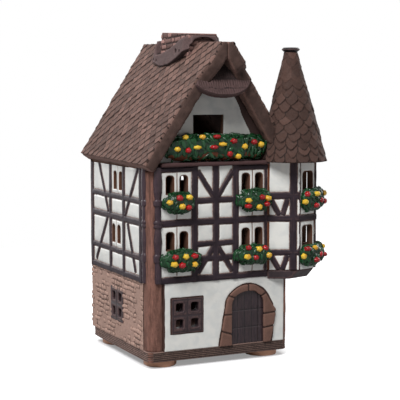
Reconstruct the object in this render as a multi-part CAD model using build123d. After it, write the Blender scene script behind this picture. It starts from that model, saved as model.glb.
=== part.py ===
from build123d import *
import math
import os

# Half-timbered house, a hollow ceramic candle house.  Millimetres, +Z up, front towards -Y.
# The origin is on the surface that the feet stand on, below the middle of the base plate.

# ---------------------------------------------------------------- driving dimensions

# base plate and feet
house_width = 112.0
house_depth = 111.5
foot_height = 5.0
foot_radius = 12.0
foot_inset = 14.5
plate_thickness = 7.0
plate_corner = 2.0
comb_grooves = 3
comb_depth = 0.6
comb_width = 0.9

# walls; storeys are heights above the plate, everything on the upper walls is a height above their foot
wall_thickness = 6.0
ground_storey = 49.0
upper_storeys = 83.4
upper_proud = 0.5
timber_proud = 1.0
corner_arm = 11.0
clay_corner_radius = 5.0
plain_corner_radius = 1.5

# timber grid
timber_width = 4.8
top_rail = 3.6
rail_bands = {"bottom": (0.0, 4.6), "low": (16.0, 20.0), "middle": (41.0, 45.6), "high": (56.6, 60.6)}
brace_width = 3.6
brace_spread = 1.4
brace_foot = 6.0

# window lights
light_width = 5.8
light_height = 12.8
light_gap = 5.0
light_crown = 2.2
light_sills = (24.0, 64.2)

# front elevation; the bay posts are shares of half the house width, the lights sit near their bay's middle
turret_seam_inset = 17.5
carved_post_inset = 6.8
carved_post_width = 6.4
carved_side_post_width = 5.7
bay_posts = (-0.368, -0.066, 0.22)
centre_low_rails = ((14.4, 18.6), (25.4, 29.2))
front_lights_shift = (-0.1, 0.6)
seam_post_width = 2.4

# side elevations, measured towards the right as seen from outside the left wall
side_posts = (-15.8, 10.6)
side_lights = (-4.2, -0.4)
side_braces_upper = ((-40.5, -20.0), (39.4, 13.3))
side_braces_lower = ((-22.1, -46.6), (18.1, 32.8))

# back elevation
back_posts_x = (-14.0, 0.0, 14.0)
back_lights_x = (-26.0, 26.0)

# barred windows of the ground floor, their height measured from the plate and the front one's place
# from the left-hand corner of the house
shutter_width = 25.0
shutter_height = 25.4
shutter_proud = 1.0
shutter_plug = 21.0
shutter_hole = (5.8, 6.4)
shutter_pitch = (12.0, 11.8)
front_shutter = (29.5, 25.2)
side_shutter = (-4.5, 25.8)

# door and its stone surround
door_inset = 32.5
door_half_width = 14.3
door_spring = 29.5
door_rise = 10.0
door_niche = 3.0
door_leaf = 2.0
surround_proud = 2.0
surround_left_foot = 24.2
surround_left_shoulder = 18.2
surround_right_foot = 19.5
surround_right_knee = (22.7, 23.8)
surround_right_shoulder = 17.2
surround_shoulder_rise = 4.0
surround_crown = 14.9

# candle opening of the back wall, from the plate
candle_half_width = 35.0
candle_sill = 14.0
candle_spring = 31.0
candle_rise = 14.0

# roof: both slabs alike about the axis, but for the notch beside the beak
roof_pitch = 57.2
eave_overhang = 3.95
roof_axis_x = -1.25
roof_fall = 0.9
ridge_half = 3.75
roof_thickness = 9.0
eave_lift = 2.2
verge_front = 64.4
verge_front_eave = 60.2
verge_back_ridge = 71.0
verge_back_eave = 68.4
beak_reach = 69.8
beak_run = 18.0
notch_run = {"left": 30.6, "right": 24.0}

# gables, heights above the wall top
gable_thickness = 5.0
gable_setback = 4.0
attic_window = (-7.4, 29.6)
attic_window_size = (24.6, 14.0)
ledge_thickness = 2.8
ledge_reach = 3.4
ledge_left_inset = 8.5

# half-hip hood under the beak of the roof
hood_rim_drop = 38.64
hood_rim_reach = 71.6
hood_slope = 60.5
hood_axis_x = -3.2
hood_half_width = 23.4
hood_round = 15.0
hood_thickness = 5.0
hood_depth = 24.0
hood_wall_cover = 3.6

# chimney, leaning slightly at the back and falling towards the front at the top
chimney_half_width = 11.5
chimney_front = 30.5
chimney_back = 24.5
chimney_lean = 5.5
chimney_rise = 8.2
chimney_fall = 2.4
chimney_root = 34.0
chimney_wall = 4.0

# clay strap round the chimney: its edges are drawn in side view, from the chimney's front edge
# backwards and downwards from the ridge; it spans the ridge in front as an arch
strap_foot_margin = 6.2
strap_head_margin = 2.6
strap_front_margins = (3.0, 1.4)
strap_corner = 5.0
strap_upper_edge = ((0.0, -4.6), (9.7, -2.0), (25.7, 4.1), (42.3, 8.2), (51.7, 8.7))
strap_lower_edge = ((0.0, 5.9), (9.9, 11.1), (25.9, 16.6), (40.8, 17.6), (56.0, 14.6))
strap_end_rise = (2.8, 10.9)
strap_arch_half = 11.5
strap_arch_rise = 8.8
strap_holes = ((15.2, 6.8, 1.7), (53.5, 12.6, 1.1))

# corner turret; its outer corners and the middle of its cone are (to the right of, in front of) the
# right-hand front corner of the house
turret_outer_offsets = ((3.7, 10.95), (20.5, 5.75), (21.5, -11.75))
turret_back_inset = 21.75
turret_wall_thickness = 5.0
turret_drop = 2.0
turret_floor_thickness = 7.0
turret_floor_bevel = 4.6
turret_rise = 1.6
turret_light = (10.4, 14.8)
turret_light_drop = 1.4
turret_edge_post = 5.4
turret_edge_strip = 1.5
turret_high_rail = (57.6, 62.6)
turret_braces = ((-9.0, -2.7), (3.3, -0.5))
cone_offset = (5.0, -1.75)
cone_lean = (-1.6, 0.8)
cone_margin = 3.0
cone_radius = 24.6
cone_neck_radius = 4.5
cone_height = 80.0
finial_radius = 6.9
finial_height = 3.6

# flower boxes: (shift from the lights above, length, foot, head), heights above the foot of the upper walls
left_boxes = ((0.1, 31.0, 8.2, 25.0), (0.1, 29.0, 50.0, 66.0))
right_boxes = ((-1.0, 31.0, 10.0, 25.0), (-1.5, 32.0, 49.4, 66.0))
turret_box_foot = (7.4, 48.6)
turret_box_height = 16.0
turret_box_length = (19.0, 15.5)
turret_box_reach = (7.0, 9.0)
box_reach = 7.0
box_corner = 4.0
box_edge = 3.2
garland_left_inset = 11.4
garland_right_over = 0.2
garland_height = 20.0
garland_reach = 8.0
garland_corner = 6.0
garland_edge = 3.6

# ---------------------------------------------------------------- sizes worked out

half_w = house_width / 2
half_d = house_depth / 2
roof_run = half_w - ridge_half + eave_overhang
turret_seam_x = half_w - turret_seam_inset
turret_back_y = -half_d + turret_back_inset
turret_outer = [(half_w + right, -half_d - front) for right, front in turret_outer_offsets]
cone_centre = (half_w + cone_offset[0], -half_d - cone_offset[1])
bay_posts_x = [share * half_w for share in bay_posts]
left_bay = (-half_w + carved_post_inset + carved_post_width / 2, bay_posts_x[0] - timber_width / 2)
right_bay = (bay_posts_x[2] + timber_width / 2, turret_seam_x - seam_post_width)
front_lights_x = [sum(bay) / 2 + shift for bay, shift in zip((left_bay, right_bay), front_lights_shift)]
front_shutter_centre = (-half_w + front_shutter[0], front_shutter[1])
door_x = half_w - door_inset
plate_top = foot_height + plate_thickness
storey_base_z = plate_top + ground_storey
wall_top_z = storey_base_z + upper_storeys
upper_w = half_w + upper_proud
upper_d = half_d + upper_proud
sin_pitch = math.sin(math.radians(roof_pitch))
cos_pitch = math.cos(math.radians(roof_pitch))
tan_pitch = sin_pitch / cos_pitch
eave_z = wall_top_z + eave_lift
ridge_z = eave_z + roof_run * tan_pitch
roof_drop = roof_thickness / cos_pitch
inner_apex_z = ridge_z + ridge_half * tan_pitch - roof_drop
hood_rim_z = ridge_z - hood_rim_drop
turret_bottom_z = storey_base_z - turret_drop
turret_top_z = wall_top_z + turret_rise
cone_neck_z = turret_top_z + cone_height
rail_heights = {name: (storey_base_z + a, storey_base_z + b) for name, (a, b) in rail_bands.items()}
sills = [storey_base_z + sill for sill in light_sills]
BEYOND = 2 * (house_width + house_depth)


def block(x0, x1, y0, y1, z0, z1):
    """A box between two corners."""
    centre = Pos((x0 + x1) / 2, (y0 + y1) / 2, (z0 + z1) / 2)
    return centre * Box(x1 - x0, y1 - y0, z1 - z0)


def largest(shape):
    """The main solid of a cut, without the crumbs that a cut can leave at a seam."""
    return max(shape.solids(), key=lambda solid: solid.volume)


def cut_corners(width, height, corner):
    """A rectangle with its corners cut off."""
    return chamfer(Rectangle(width, height).vertices(), corner)


def face_plane(side, out=0.0):
    """The outer face of a wall: local x runs to the right as seen from outside, local y is up."""
    if side == "front":
        return Plane(origin=(0, -half_d - out, 0), x_dir=(1, 0, 0), z_dir=(0, -1, 0))
    if side == "back":
        return Plane(origin=(0, half_d + out, 0), x_dir=(-1, 0, 0), z_dir=(0, 1, 0))
    if side == "left":
        return Plane(origin=(-half_w - out, 0, 0), x_dir=(0, -1, 0), z_dir=(-1, 0, 0))
    return Plane(origin=(half_w + out, 0, 0), x_dir=(0, 1, 0), z_dir=(1, 0, 0))


def panel(u0, u1, z0, z1):
    """A rectangle drawn on a wall face."""
    return Pos((u0 + u1) / 2, (z0 + z1) / 2) * Rectangle(u1 - u0, z1 - z0)


def post(u, width, z0, z1):
    """An upright timber centred on u."""
    return panel(u - width / 2, u + width / 2, z0, z1)


def brace(u0, z0, u1, z1):
    """A slanting timber between two points."""
    length = math.hypot(u1 - u0, z1 - z0)
    angle = math.degrees(math.atan2(z1 - z0, u1 - u0))
    return Pos((u0 + u1) / 2, (z0 + z1) / 2) * Rot(0, 0, angle) * Rectangle(length, brace_width)


def light_outline(u, sill, size=(light_width, light_height)):
    """One window light with rounded top corners."""
    shape = Pos(u, sill + size[1] / 2) * Rectangle(size[0], size[1])
    return fillet(shape.vertices().sort_by(Axis.Y)[-2:], light_crown)


def light_pair(u_lower, u_upper):
    """The two pairs of lights that stand above each other in a bay."""
    step = (light_width + light_gap) / 2
    middles = zip((u_lower, u_upper), sills)
    return Sketch() + [light_outline(u + k * step, sill) for u, sill in middles for k in (-1, 1)]


def side_light_pairs(s):
    """The lights of a side wall; s is -1 on the right-hand wall, which mirrors the left one."""
    return light_pair(s * side_lights[0], s * side_lights[1])


def arch_outline(half_width, base, spring, rise):
    """An opening with upright sides and a half-elliptic head, centred on local x = 0."""
    legs = panel(-half_width, half_width, base, spring)
    head = Pos(0, spring) * Ellipse(half_width, rise)
    return legs + (head & panel(-half_width, half_width, spring, spring + rise))


def on_wall(side, sketch, inwards, out=0.0):
    """Extrude a sketch from a wall face inwards."""
    return extrude(face_plane(side, out) * sketch, amount=-inwards)


# ---------------------------------------------------------------- base

def base_plate():
    outline = cut_corners(house_width, house_depth, plate_corner)
    plate = Pos(0, 0, foot_height) * extrude(outline, amount=plate_thickness)
    core = cut_corners(house_width - 2 * comb_depth, house_depth - 2 * comb_depth, plate_corner)
    pitch = plate_thickness / (comb_grooves + 1)
    for k in range(comb_grooves):
        z = foot_height + (k + 1) * pitch - comb_width / 2
        plate -= Pos(0, 0, z) * extrude(outline - core, amount=comb_width)
    return plate


def foot(side_x, side_y):
    pad = Cylinder(foot_radius, foot_height, align=(Align.CENTER, Align.CENTER, Align.MIN))
    return Pos(side_x * (half_w - foot_inset), side_y * (half_d - foot_inset), 0) * pad


# ---------------------------------------------------------------- roof forms that other pieces are cut by

def settled(shape):
    """The roof falls slightly towards the front: it turns about the middle of the eaves."""
    return Pos(0, 0, eave_z) * Rot(roof_fall, 0, 0) * Pos(0, 0, -eave_z) * shape


def roof_profile():
    """Half of the roof's cross-section, left of its axis, with the eave cut square to the slope."""
    edge = ridge_half + roof_run
    inner_edge = edge - roof_thickness * sin_pitch
    points = [(0, ridge_z), (-ridge_half, ridge_z), (-edge, eave_z),
              (-inner_edge, eave_z - roof_thickness * cos_pitch), (0, inner_apex_z)]
    return make_face(Plane.XZ * Polyline(*points, close=True))


def slope_outline(side):
    """The outline of a slab, drawn on its upper surface: local x runs down the slope from the ridge."""
    run = 2 * roof_run / cos_pitch
    fall = (verge_front - verge_front_eave) * 2
    over = 2 * ridge_half / cos_pitch
    points = [(-over, beak_reach), (beak_run, beak_reach), (notch_run[side], verge_front),
              (run, verge_front - fall), (run, 2 * verge_back_eave - verge_back_ridge),
              (-over, verge_back_ridge)]
    slope = Plane(origin=(-ridge_half, 0, ridge_z), x_dir=(-cos_pitch, 0, -sin_pitch),
                  z_dir=(-sin_pitch, 0, cos_pitch))
    signed = [(x, y if index < 4 else -y) for index, (x, y) in enumerate(points)]
    return slope * make_face(Polyline(*signed, close=True))


def roof_slab(side):
    """A whole slab before the turret and the flue are cut out of it."""
    body = extrude(roof_profile(), amount=BEYOND, both=True)
    slab = body & extrude(slope_outline(side), amount=ridge_z, both=True)
    if side == "right":
        slab = mirror(slab, about=Plane.YZ)
    return settled(Pos(roof_axis_x, 0, 0) * slab)


def roof_envelope():
    """Everything below the upper surface of the roof."""
    reach = 2 * (ridge_half + roof_run)
    foot_z = ridge_z - (reach - ridge_half) * tan_pitch
    points = [(-ridge_half, ridge_z), (ridge_half, ridge_z), (reach, foot_z), (-reach, foot_z)]
    body = extrude(make_face(Plane.XZ * Polyline(*points, close=True)), amount=BEYOND, both=True)
    return settled(Pos(roof_axis_x, 0, 0) * body)


# ---------------------------------------------------------------- turret plan

def turret_corners():
    """Outer corners from the seam on the front wall round to the right wall."""
    return [(turret_seam_x, -upper_d), *turret_outer, (upper_w, turret_back_y)]


def inset_corners(points, distances):
    """The same line with each facet moved inwards; its ends stay on the two house walls."""
    lines = []
    for (x0, y0), (x1, y1), distance in zip(points, points[1:], distances):
        length = math.hypot(x1 - x0, y1 - y0)
        dx, dy = (x1 - x0) / length, (y1 - y0) / length
        lines.append((x0 - dy * distance, y0 + dx * distance, dx, dy))

    def cross(a, b):
        det = a[3] * b[2] - a[2] * b[3]
        t = ((b[1] - a[1]) * b[2] - (b[0] - a[0]) * b[3]) / det
        return (a[0] + t * a[2], a[1] + t * a[3])

    start = cross(lines[0], (turret_seam_x, 0, 0, 1))
    end = cross(lines[-1], (0, turret_back_y, 1, 0))
    return [start] + [cross(a, b) for a, b in zip(lines, lines[1:])] + [end]


def turret_plan(distance=0.0):
    """The plan of the turret, moved inwards all round."""
    corners = turret_corners()
    return inset_corners(corners, [distance] * (len(corners) - 1))


def turret_face(points, z):
    inner_corner = (turret_seam_x, turret_back_y)
    return Pos(0, 0, z) * make_face(Polyline(*points, inner_corner, close=True))


def turret_prism(points, z0, z1):
    return extrude(turret_face(points, z0), amount=z1 - z0)


def house_inside():
    """The hollow between the four walls."""
    return block(-half_w + wall_thickness, half_w - wall_thickness, -half_d + wall_thickness,
                 half_d - wall_thickness, plate_top, turret_top_z)


def facet_plane(index, out=0.0):
    """The outer face of one turret facet, its origin at mid-width on the floor level."""
    (x0, y0), (x1, y1) = turret_corners()[index:index + 2]
    length = math.hypot(x1 - x0, y1 - y0)
    dx, dy = (x1 - x0) / length, (y1 - y0) / length
    origin = ((x0 + x1) / 2 + dy * out, (y0 + y1) / 2 - dx * out, 0)
    return Plane(origin=origin, x_dir=(dx, dy, 0), z_dir=(dy, -dx, 0))


def facet_length(index):
    (x0, y0), (x1, y1) = turret_corners()[index:index + 2]
    return math.hypot(x1 - x0, y1 - y0)


def neck_centre():
    return (cone_centre[0] + cone_lean[0], cone_centre[1] + cone_lean[1])


def cone_outside():
    """The turret roof, a cone that leans a little, cut level at its foot and its neck."""
    spread = cone_margin * (cone_radius - cone_neck_radius) / cone_height
    body = Cone(cone_radius + spread, cone_neck_radius - spread, cone_height + 2 * cone_margin)
    middle = [(a + b) / 2 for a, b in zip(cone_centre, neck_centre())]
    axis = Plane(origin=(*middle, (turret_top_z + cone_neck_z) / 2), z_dir=(*cone_lean, cone_height))
    return (axis * body) & block(0, BEYOND, -BEYOND, 0, turret_top_z, cone_neck_z)


# ---------------------------------------------------------------- walls

def lower_wall(side):
    reach = (half_w if side in ("front", "back") else half_d) - corner_arm
    wall = on_wall(side, panel(-reach, reach, plate_top, storey_base_z), wall_thickness)
    if side == "front":
        wall -= on_wall(side, door_outline(), door_niche)
        wall -= on_wall(side, shutter_hole_in_wall(front_shutter_centre), wall_thickness)
    if side in ("left", "right"):
        wall -= on_wall(side, shutter_hole_in_wall(side_window_centre(side)), wall_thickness)
    if side == "back":
        sill, spring = plate_top + candle_sill, plate_top + candle_spring
        opening = arch_outline(candle_half_width, sill, spring, candle_rise)
        wall -= on_wall(side, opening, wall_thickness)
    return wall


def side_window_centre(side):
    return (side_shutter[0] if side == "left" else -side_shutter[0], side_shutter[1])


def shutter_hole_in_wall(centre):
    return Pos(centre[0], plate_top + centre[1]) * Rectangle(shutter_plug, shutter_plug)


def upper_wall(side):
    """The side walls run through to the back; the front stops at the clay corner and at the turret."""
    if side == "front":
        left, right = -half_w + corner_arm, turret_seam_x
        lights = [light_pair(x, x) for x in front_lights_x]
    if side == "left":
        left, right = -upper_d, half_d - corner_arm
        lights = side_light_pairs(1)
    if side == "right":
        left, right = turret_back_y, upper_d
        lights = side_light_pairs(-1)
    if side == "back":
        left, right = -half_w + wall_thickness, half_w - wall_thickness
        lights = [light_pair(x, x) for x in back_lights_x]
    outline = panel(left, right, storey_base_z, wall_top_z)
    return on_wall(side, outline - lights, wall_thickness + upper_proud, out=upper_proud)


def corner_post(side_x, side_y, top, radius):
    """A clay corner with a rounded outer edge, hollow on the inside."""
    outer = block(half_w - corner_arm, half_w, half_d - corner_arm, half_d, plate_top, top)
    edge = outer.edges().filter_by(Axis.Z).sort_by(lambda e: e.center().X + e.center().Y)[-1]
    outer = fillet(edge, radius)
    inside = block(0, half_w - wall_thickness, 0, half_d - wall_thickness, plate_top, top)
    shape = outer - inside
    if side_x < 0:
        shape = mirror(shape, about=Plane.YZ)
    if side_y < 0:
        shape = mirror(shape, about=Plane.XZ)
    return shape


# ---------------------------------------------------------------- timber frames

def rail(name, u0, u1):
    z0, z1 = rail_heights[name]
    return panel(u0, u1, z0, z1)


def bay_braces(a, b, c, low_rail_z):
    """Four braces that meet on the middle post of a bay, above and below its rails."""
    head = wall_top_z - top_rail
    upper = rail_heights["high"][1]
    foot_z = storey_base_z + brace_foot
    lean = timber_width / 2
    return [
        brace(a + lean, head, b - brace_spread, upper),
        brace(c - lean, head, b + brace_spread, upper),
        brace(b - brace_spread, low_rail_z, a + lean, foot_z),
        brace(b + brace_spread, low_rail_z, c - lean, foot_z),
    ]


def front_timbers():
    left = -half_w + carved_post_inset - carved_post_width / 2
    right = turret_seam_x
    a, b, c = bay_posts_x
    bottom, top = storey_base_z, wall_top_z
    low, upper = [(storey_base_z + z0, storey_base_z + z1) for z0, z1 in centre_low_rails]
    shapes = [
        panel(left, left + carved_post_width, bottom, top),
        *[post(x, timber_width, bottom, top) for x in bay_posts_x],
        panel(right - seam_post_width, right, bottom, top),
        rail("bottom", left, right),
        rail("middle", left, right),
        rail("high", a, c),
        panel(left, a, top - top_rail, top),
        panel(c, right, top - top_rail, top),
        panel(a, c, *low),
        panel(a, c, *upper),
        *bay_braces(a, b, c, upper[0]),
    ]
    return (Sketch() + shapes) & panel(left, right, bottom, top)


def side_timbers(left, right, posts, s):
    """The frame of a side wall; s is -1 on the right-hand wall, which mirrors the left one."""
    bottom, top = storey_base_z, wall_top_z
    middle = rail_heights["middle"]
    shapes = [post(u, timber_width, bottom, top) for u in posts]
    shapes += [rail(name, left, right) for name in rail_heights]
    low_end = bottom + brace_foot
    shapes += [brace(s * head, top, s * foot_u, middle[1]) for head, foot_u in side_braces_upper]
    shapes += [brace(s * head, middle[0], s * foot_u, low_end) for head, foot_u in side_braces_lower]
    return ((Sketch() + shapes) & panel(left, right, bottom, top)) - side_light_pairs(s)


def back_timbers():
    """The frame of the back wall, which covers the ends of the side walls."""
    bottom, top = storey_base_z, wall_top_z
    reach = upper_w + timber_proud
    a, b, c = back_posts_x
    upper = [storey_base_z + z for z in centre_low_rails[1]]
    ends = (-reach + timber_width / 2, reach - timber_width / 2)
    shapes = [post(u, timber_width, bottom, top) for u in (*ends, *back_posts_x)]
    shapes += [
        rail("bottom", -reach, reach),
        rail("middle", -reach, reach),
        rail("high", a, c),
        panel(-reach, reach, top - top_rail, top),
        panel(a, c, *upper),
        *bay_braces(a, b, c, upper[0]),
    ]
    return (Sketch() + shapes) & panel(-reach, reach, bottom, top)


def carved_posts(side):
    """The dark post on each free side of the clay corner, which reaches back to the clay."""
    if side == "front":
        left = -half_w + carved_post_inset - carved_post_width / 2
        right = left + carved_post_width
    elif side == "left":
        left = half_d - corner_arm
        right = left + carved_side_post_width
    else:
        return []
    outline = panel(left, right, storey_base_z, wall_top_z)
    return extrude(face_plane(side) * outline, amount=upper_proud + timber_proud)


def timber_frame(side):
    front_end = half_d - corner_arm
    half_post = timber_width / 2
    if side == "front":
        sketch = front_timbers()
    elif side == "left":
        posts = (-upper_d + half_post, *side_posts, front_end - half_post)
        sketch = side_timbers(-upper_d, front_end + carved_side_post_width, posts, 1)
    elif side == "right":
        posts = (*[-u for u in side_posts], upper_d - half_post)
        sketch = side_timbers(turret_back_y, upper_d, posts, -1)
    else:
        sketch = back_timbers()
    frame = extrude(face_plane(side, upper_proud) * sketch, amount=timber_proud)
    return frame + carved_posts(side)


# ---------------------------------------------------------------- windows and door

def shutter_window(side, centre):
    middle = (centre[0], plate_top + centre[1])
    frame = Pos(*middle) * Rectangle(shutter_width, shutter_height)
    plug = shutter_hole_in_wall(centre)
    holes = Sketch()
    for i in (-1, 1):
        for j in (-1, 1):
            hole = Rectangle(*shutter_hole)
            holes += Pos(middle[0] + i * shutter_pitch[0] / 2, middle[1] + j * shutter_pitch[1] / 2) * hole
    solid = extrude(face_plane(side) * (frame - holes), amount=shutter_proud)
    return solid + extrude(face_plane(side) * (plug - holes), amount=-wall_thickness)


def door_outline():
    return Pos(door_x, 0) * arch_outline(door_half_width, plate_top, plate_top + door_spring, door_rise)


def door():
    return extrude(face_plane("front", -door_niche) * door_outline(), amount=door_leaf)


def door_surround():
    """Stones of uneven width round the door: a splayed left foot, a knee on the right, an arched head."""
    spring = plate_top + door_spring
    shoulder = spring + surround_shoulder_rise
    left = (-surround_left_shoulder, shoulder)
    right = (surround_right_shoulder, shoulder)
    knee = (surround_right_knee[0], plate_top + surround_right_knee[1])
    head = ThreePointArc(left, (0, spring + surround_crown), right)
    legs = Polyline(right, knee, (surround_right_foot, plate_top), (-surround_left_foot, plate_top), left)
    outline = Pos(door_x, 0) * make_face(head + legs) - door_outline()
    return extrude(face_plane("front") * outline, amount=surround_proud)


# ---------------------------------------------------------------- gables and hood

def gable_wall(side):
    """The triangular wall below the roof, with its attic window, before the slabs trim it."""
    base = wall_top_z + (ledge_thickness if side == "front" else 0)
    middle = roof_axis_x if side == "front" else -roof_axis_x
    apex = inner_apex_z + roof_drop / 2
    reach = (apex - base) / tan_pitch
    outline = make_face(Polyline((middle - reach, base), (middle + reach, base), (middle, apex), close=True))
    if side == "front":
        outline &= panel(-half_w, half_w, base, hood_rim_z + hood_wall_cover)
    outline -= Pos(attic_window[0], wall_top_z + attic_window[1]) * Rectangle(*attic_window_size)
    return extrude(face_plane(side, -gable_setback) * outline, amount=-gable_thickness)


def gable_ledge():
    """The shelf on the front wall that the garland lies on."""
    inwards = gable_setback + gable_thickness
    return block(-half_w + ledge_left_inset, turret_seam_x, -upper_d - ledge_reach, -half_d + inwards,
                 wall_top_z, wall_top_z + ledge_thickness)


def gable_hood():
    """The D-shaped half-hip that closes the gable below the beak of the roof."""
    slope = math.radians(hood_slope)
    tilt = Plane(origin=(hood_axis_x, -hood_rim_reach, hood_rim_z), x_dir=(1, 0, 0),
                 z_dir=(0, -math.sin(slope), math.cos(slope)))
    tongue = Pos(0, hood_round) * Ellipse(hood_half_width, hood_round)
    tongue += Pos(0, (hood_round + hood_depth) / 2) * Rectangle(2 * hood_half_width, hood_depth - hood_round)
    return extrude(tilt * tongue, amount=-hood_thickness)


# ---------------------------------------------------------------- chimney and strap

def flue():
    inner = chimney_half_width - chimney_wall
    back = chimney_back - chimney_lean - chimney_wall
    return block(roof_axis_x - inner, roof_axis_x + inner, -chimney_front + chimney_wall, back,
                 ridge_z - 2 * chimney_root, ridge_z + 2 * chimney_rise)


def chimney_outline():
    """The chimney in side view: it leans at the back and its top falls towards the front."""
    root = ridge_z - chimney_root
    top = ridge_z + chimney_rise
    points = [(-chimney_front, root), (-chimney_front, top - chimney_fall),
              (chimney_back - chimney_lean, top), (chimney_back, root)]
    return make_face(Plane.YZ * Polyline(*points, close=True))


def chimney():
    body = extrude(chimney_outline(), amount=chimney_half_width, both=True)
    return Pos(roof_axis_x, 0, 0) * body - flue() - roof_envelope()


def strap_band():
    """The band that the strap fills, in side view between its upper and its lower edge."""
    upper = [(y - chimney_front, ridge_z - drop) for y, drop in strap_upper_edge]
    lower = [(y - chimney_front, ridge_z - drop) for y, drop in strap_lower_edge]
    front = -chimney_front - strap_foot_margin
    back = chimney_back + 2 * strap_foot_margin
    end = (upper[-1][0] + strap_end_rise[0], upper[-1][1] + strap_end_rise[1])
    rim = [*upper, end, (back, end[1]), (back, lower[-1][1]), *reversed(lower)]
    rim += [(front, lower[0][1]), (front, upper[0][1])]
    return extrude(Plane.YZ * make_face(Polyline(*rim, close=True)), amount=BEYOND, both=True)


def chimney_strap():
    """The clay strap: flat on the roof at the back, climbing along the chimney, an arch at the front."""
    def ring(margin, front_margin, z):
        front, back = -chimney_front - front_margin, chimney_back + margin
        outline = cut_corners(2 * (chimney_half_width + margin), back - front, strap_corner)
        return Pos(roof_axis_x, (front + back) / 2, z) * outline

    z0 = ridge_z - strap_lower_edge[-2][1]
    z1 = ridge_z - strap_upper_edge[0][1]
    foot_ring = ring(strap_foot_margin, strap_front_margins[0], z0)
    skirt = loft([foot_ring, ring(strap_head_margin, strap_front_margins[1], z1)], ruled=True)
    inside = Pos(roof_axis_x, 0, 0) * extrude(chimney_outline(), amount=chimney_half_width, both=True)
    arch_foot = ridge_z - strap_lower_edge[0][1]
    arch = Plane.XZ * (Pos(roof_axis_x, arch_foot) * Ellipse(strap_arch_half, strap_arch_rise))
    tunnel = extrude(arch, amount=BEYOND) & block(-half_w, half_w, -BEYOND, -chimney_front, 0, z1)
    strap = (skirt & strap_band()) - inside - tunnel - roof_envelope()
    for y, drop, radius in strap_holes:
        hole = Plane.YZ * (Pos(y - chimney_front, ridge_z - drop) * Circle(radius))
        strap -= extrude(hole, amount=BEYOND, both=True)
    return largest(strap)


# ---------------------------------------------------------------- turret

def turret_wall():
    z0 = turret_bottom_z + turret_floor_thickness
    wall = turret_prism(turret_corners(), z0, turret_top_z)
    wall -= turret_prism(turret_plan(turret_wall_thickness), z0, turret_top_z)
    wall -= house_inside()
    for index in (1, 2):
        for sill in sills:
            outline = light_outline(0, sill - turret_light_drop, turret_light)
            wall -= extrude(facet_plane(index) * outline, amount=-turret_wall_thickness - timber_width)
    return wall


def turret_floor():
    """The floor slab; its free sides are bevelled below, the side in the front wall's line is not."""
    corners = turret_corners()
    z1 = turret_bottom_z + turret_floor_thickness
    lower = inset_corners(corners, [0.0] + [turret_floor_bevel] * (len(corners) - 2))
    body = loft([turret_face(lower, turret_bottom_z), turret_face(corners, z1)], ruled=True)
    below = block(-half_w, half_w, -half_d, half_d, 0, storey_base_z)
    return body - house_inside() - below


def turret_timbers():
    """Posts, rails and braces on the facets of the turret, fused into one mitred frame."""
    corners = turret_corners()
    skin = turret_prism(turret_plan(-timber_proud), turret_bottom_z, turret_top_z)
    skin -= turret_prism(corners, turret_bottom_z, turret_top_z)
    frame = None
    z0, top = turret_bottom_z + turret_floor_thickness, turret_top_z
    middle, low = rail_heights["middle"], rail_heights["low"]
    high = [storey_base_z + z for z in turret_high_rail]
    for index in range(len(corners) - 1):
        half = facet_length(index) / 2 + timber_proud
        shapes = [panel(-half, half, *middle)]
        if index == 0:
            shapes += [panel(half - turret_edge_post, half, z0, top), panel(-half, half, *low),
                       panel(-half, half, *high)]
            for base, head in ((z0, low[0]), (middle[1], high[0])):
                shapes += [brace(head_u, head, foot_u, base) for head_u, foot_u in turret_braces]
        elif index == 1:
            shapes += [panel(-half, -half + turret_edge_strip, z0, top),
                       panel(half - turret_edge_strip, half, z0, top)]
        else:
            shapes += [panel(-half, -half + timber_width / 2, z0, top),
                       panel(half - timber_width / 2, half, z0, top)]
        if index == 3:
            shapes += [panel(-half, half, *low), panel(-half, half, *rail_heights["high"])]
        piece = extrude(facet_plane(index) * (Sketch() + shapes), amount=timber_proud) & skin
        frame = piece if frame is None else frame + piece
    return frame


def turret_finial():
    z0, r, h = cone_neck_z, finial_radius, finial_height
    points = [(0, z0), (cone_neck_radius, z0), (r, z0 + 0.6 * h), (0.8 * r, z0 + h), (0, z0 + h)]
    return Pos(*neck_centre(), 0) * revolve(make_face(Plane.XZ * Polyline(*points, close=True)), Axis.Z)


# ---------------------------------------------------------------- flowers

def leaf_bank(plane, middle, length, foot_height_z, head_height_z, reach, corner, edge):
    """A bank of glazed leaves with bevelled edges, pressed on a wall."""
    height = head_height_z - foot_height_z
    centre = (middle, storey_base_z + (foot_height_z + head_height_z) / 2)
    bank = extrude(plane * Pos(*centre) * cut_corners(length, height, corner), amount=reach)
    outer = bank.faces().sort_by(lambda f: f.center().dot(plane.z_dir))[-1]
    return chamfer(outer.edges(), edge)


def front_boxes(level):
    plane = face_plane("front", upper_proud + timber_proud)
    banks = []
    for x, (shift, *sizes) in zip(front_lights_x, (left_boxes[level], right_boxes[level])):
        banks.append(leaf_bank(plane, x + shift, *sizes, box_reach, box_corner, box_edge))
    return Compound(children=banks)


def turret_boxes(level):
    pieces = []
    z0 = turret_box_foot[level]
    for index, length, reach in zip((1, 2), turret_box_length, turret_box_reach):
        plane = facet_plane(index, timber_proud)
        pieces.append(leaf_bank(plane, 0, length, z0, z0 + turret_box_height, reach, box_corner, box_edge))
    pieces[1] -= pieces[0]
    return Compound(children=pieces)


def garland():
    plane = Plane(origin=(0, -half_d + gable_setback, 0), x_dir=(1, 0, 0), z_dir=(0, -1, 0))
    left, right = -half_w + garland_left_inset, turret_seam_x + garland_right_over
    base = upper_storeys + ledge_thickness
    return leaf_bank(plane, (left + right) / 2, right - left, base, base + garland_height, garland_reach,
                     garland_corner, garland_edge)


# ---------------------------------------------------------------- assembly

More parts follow.
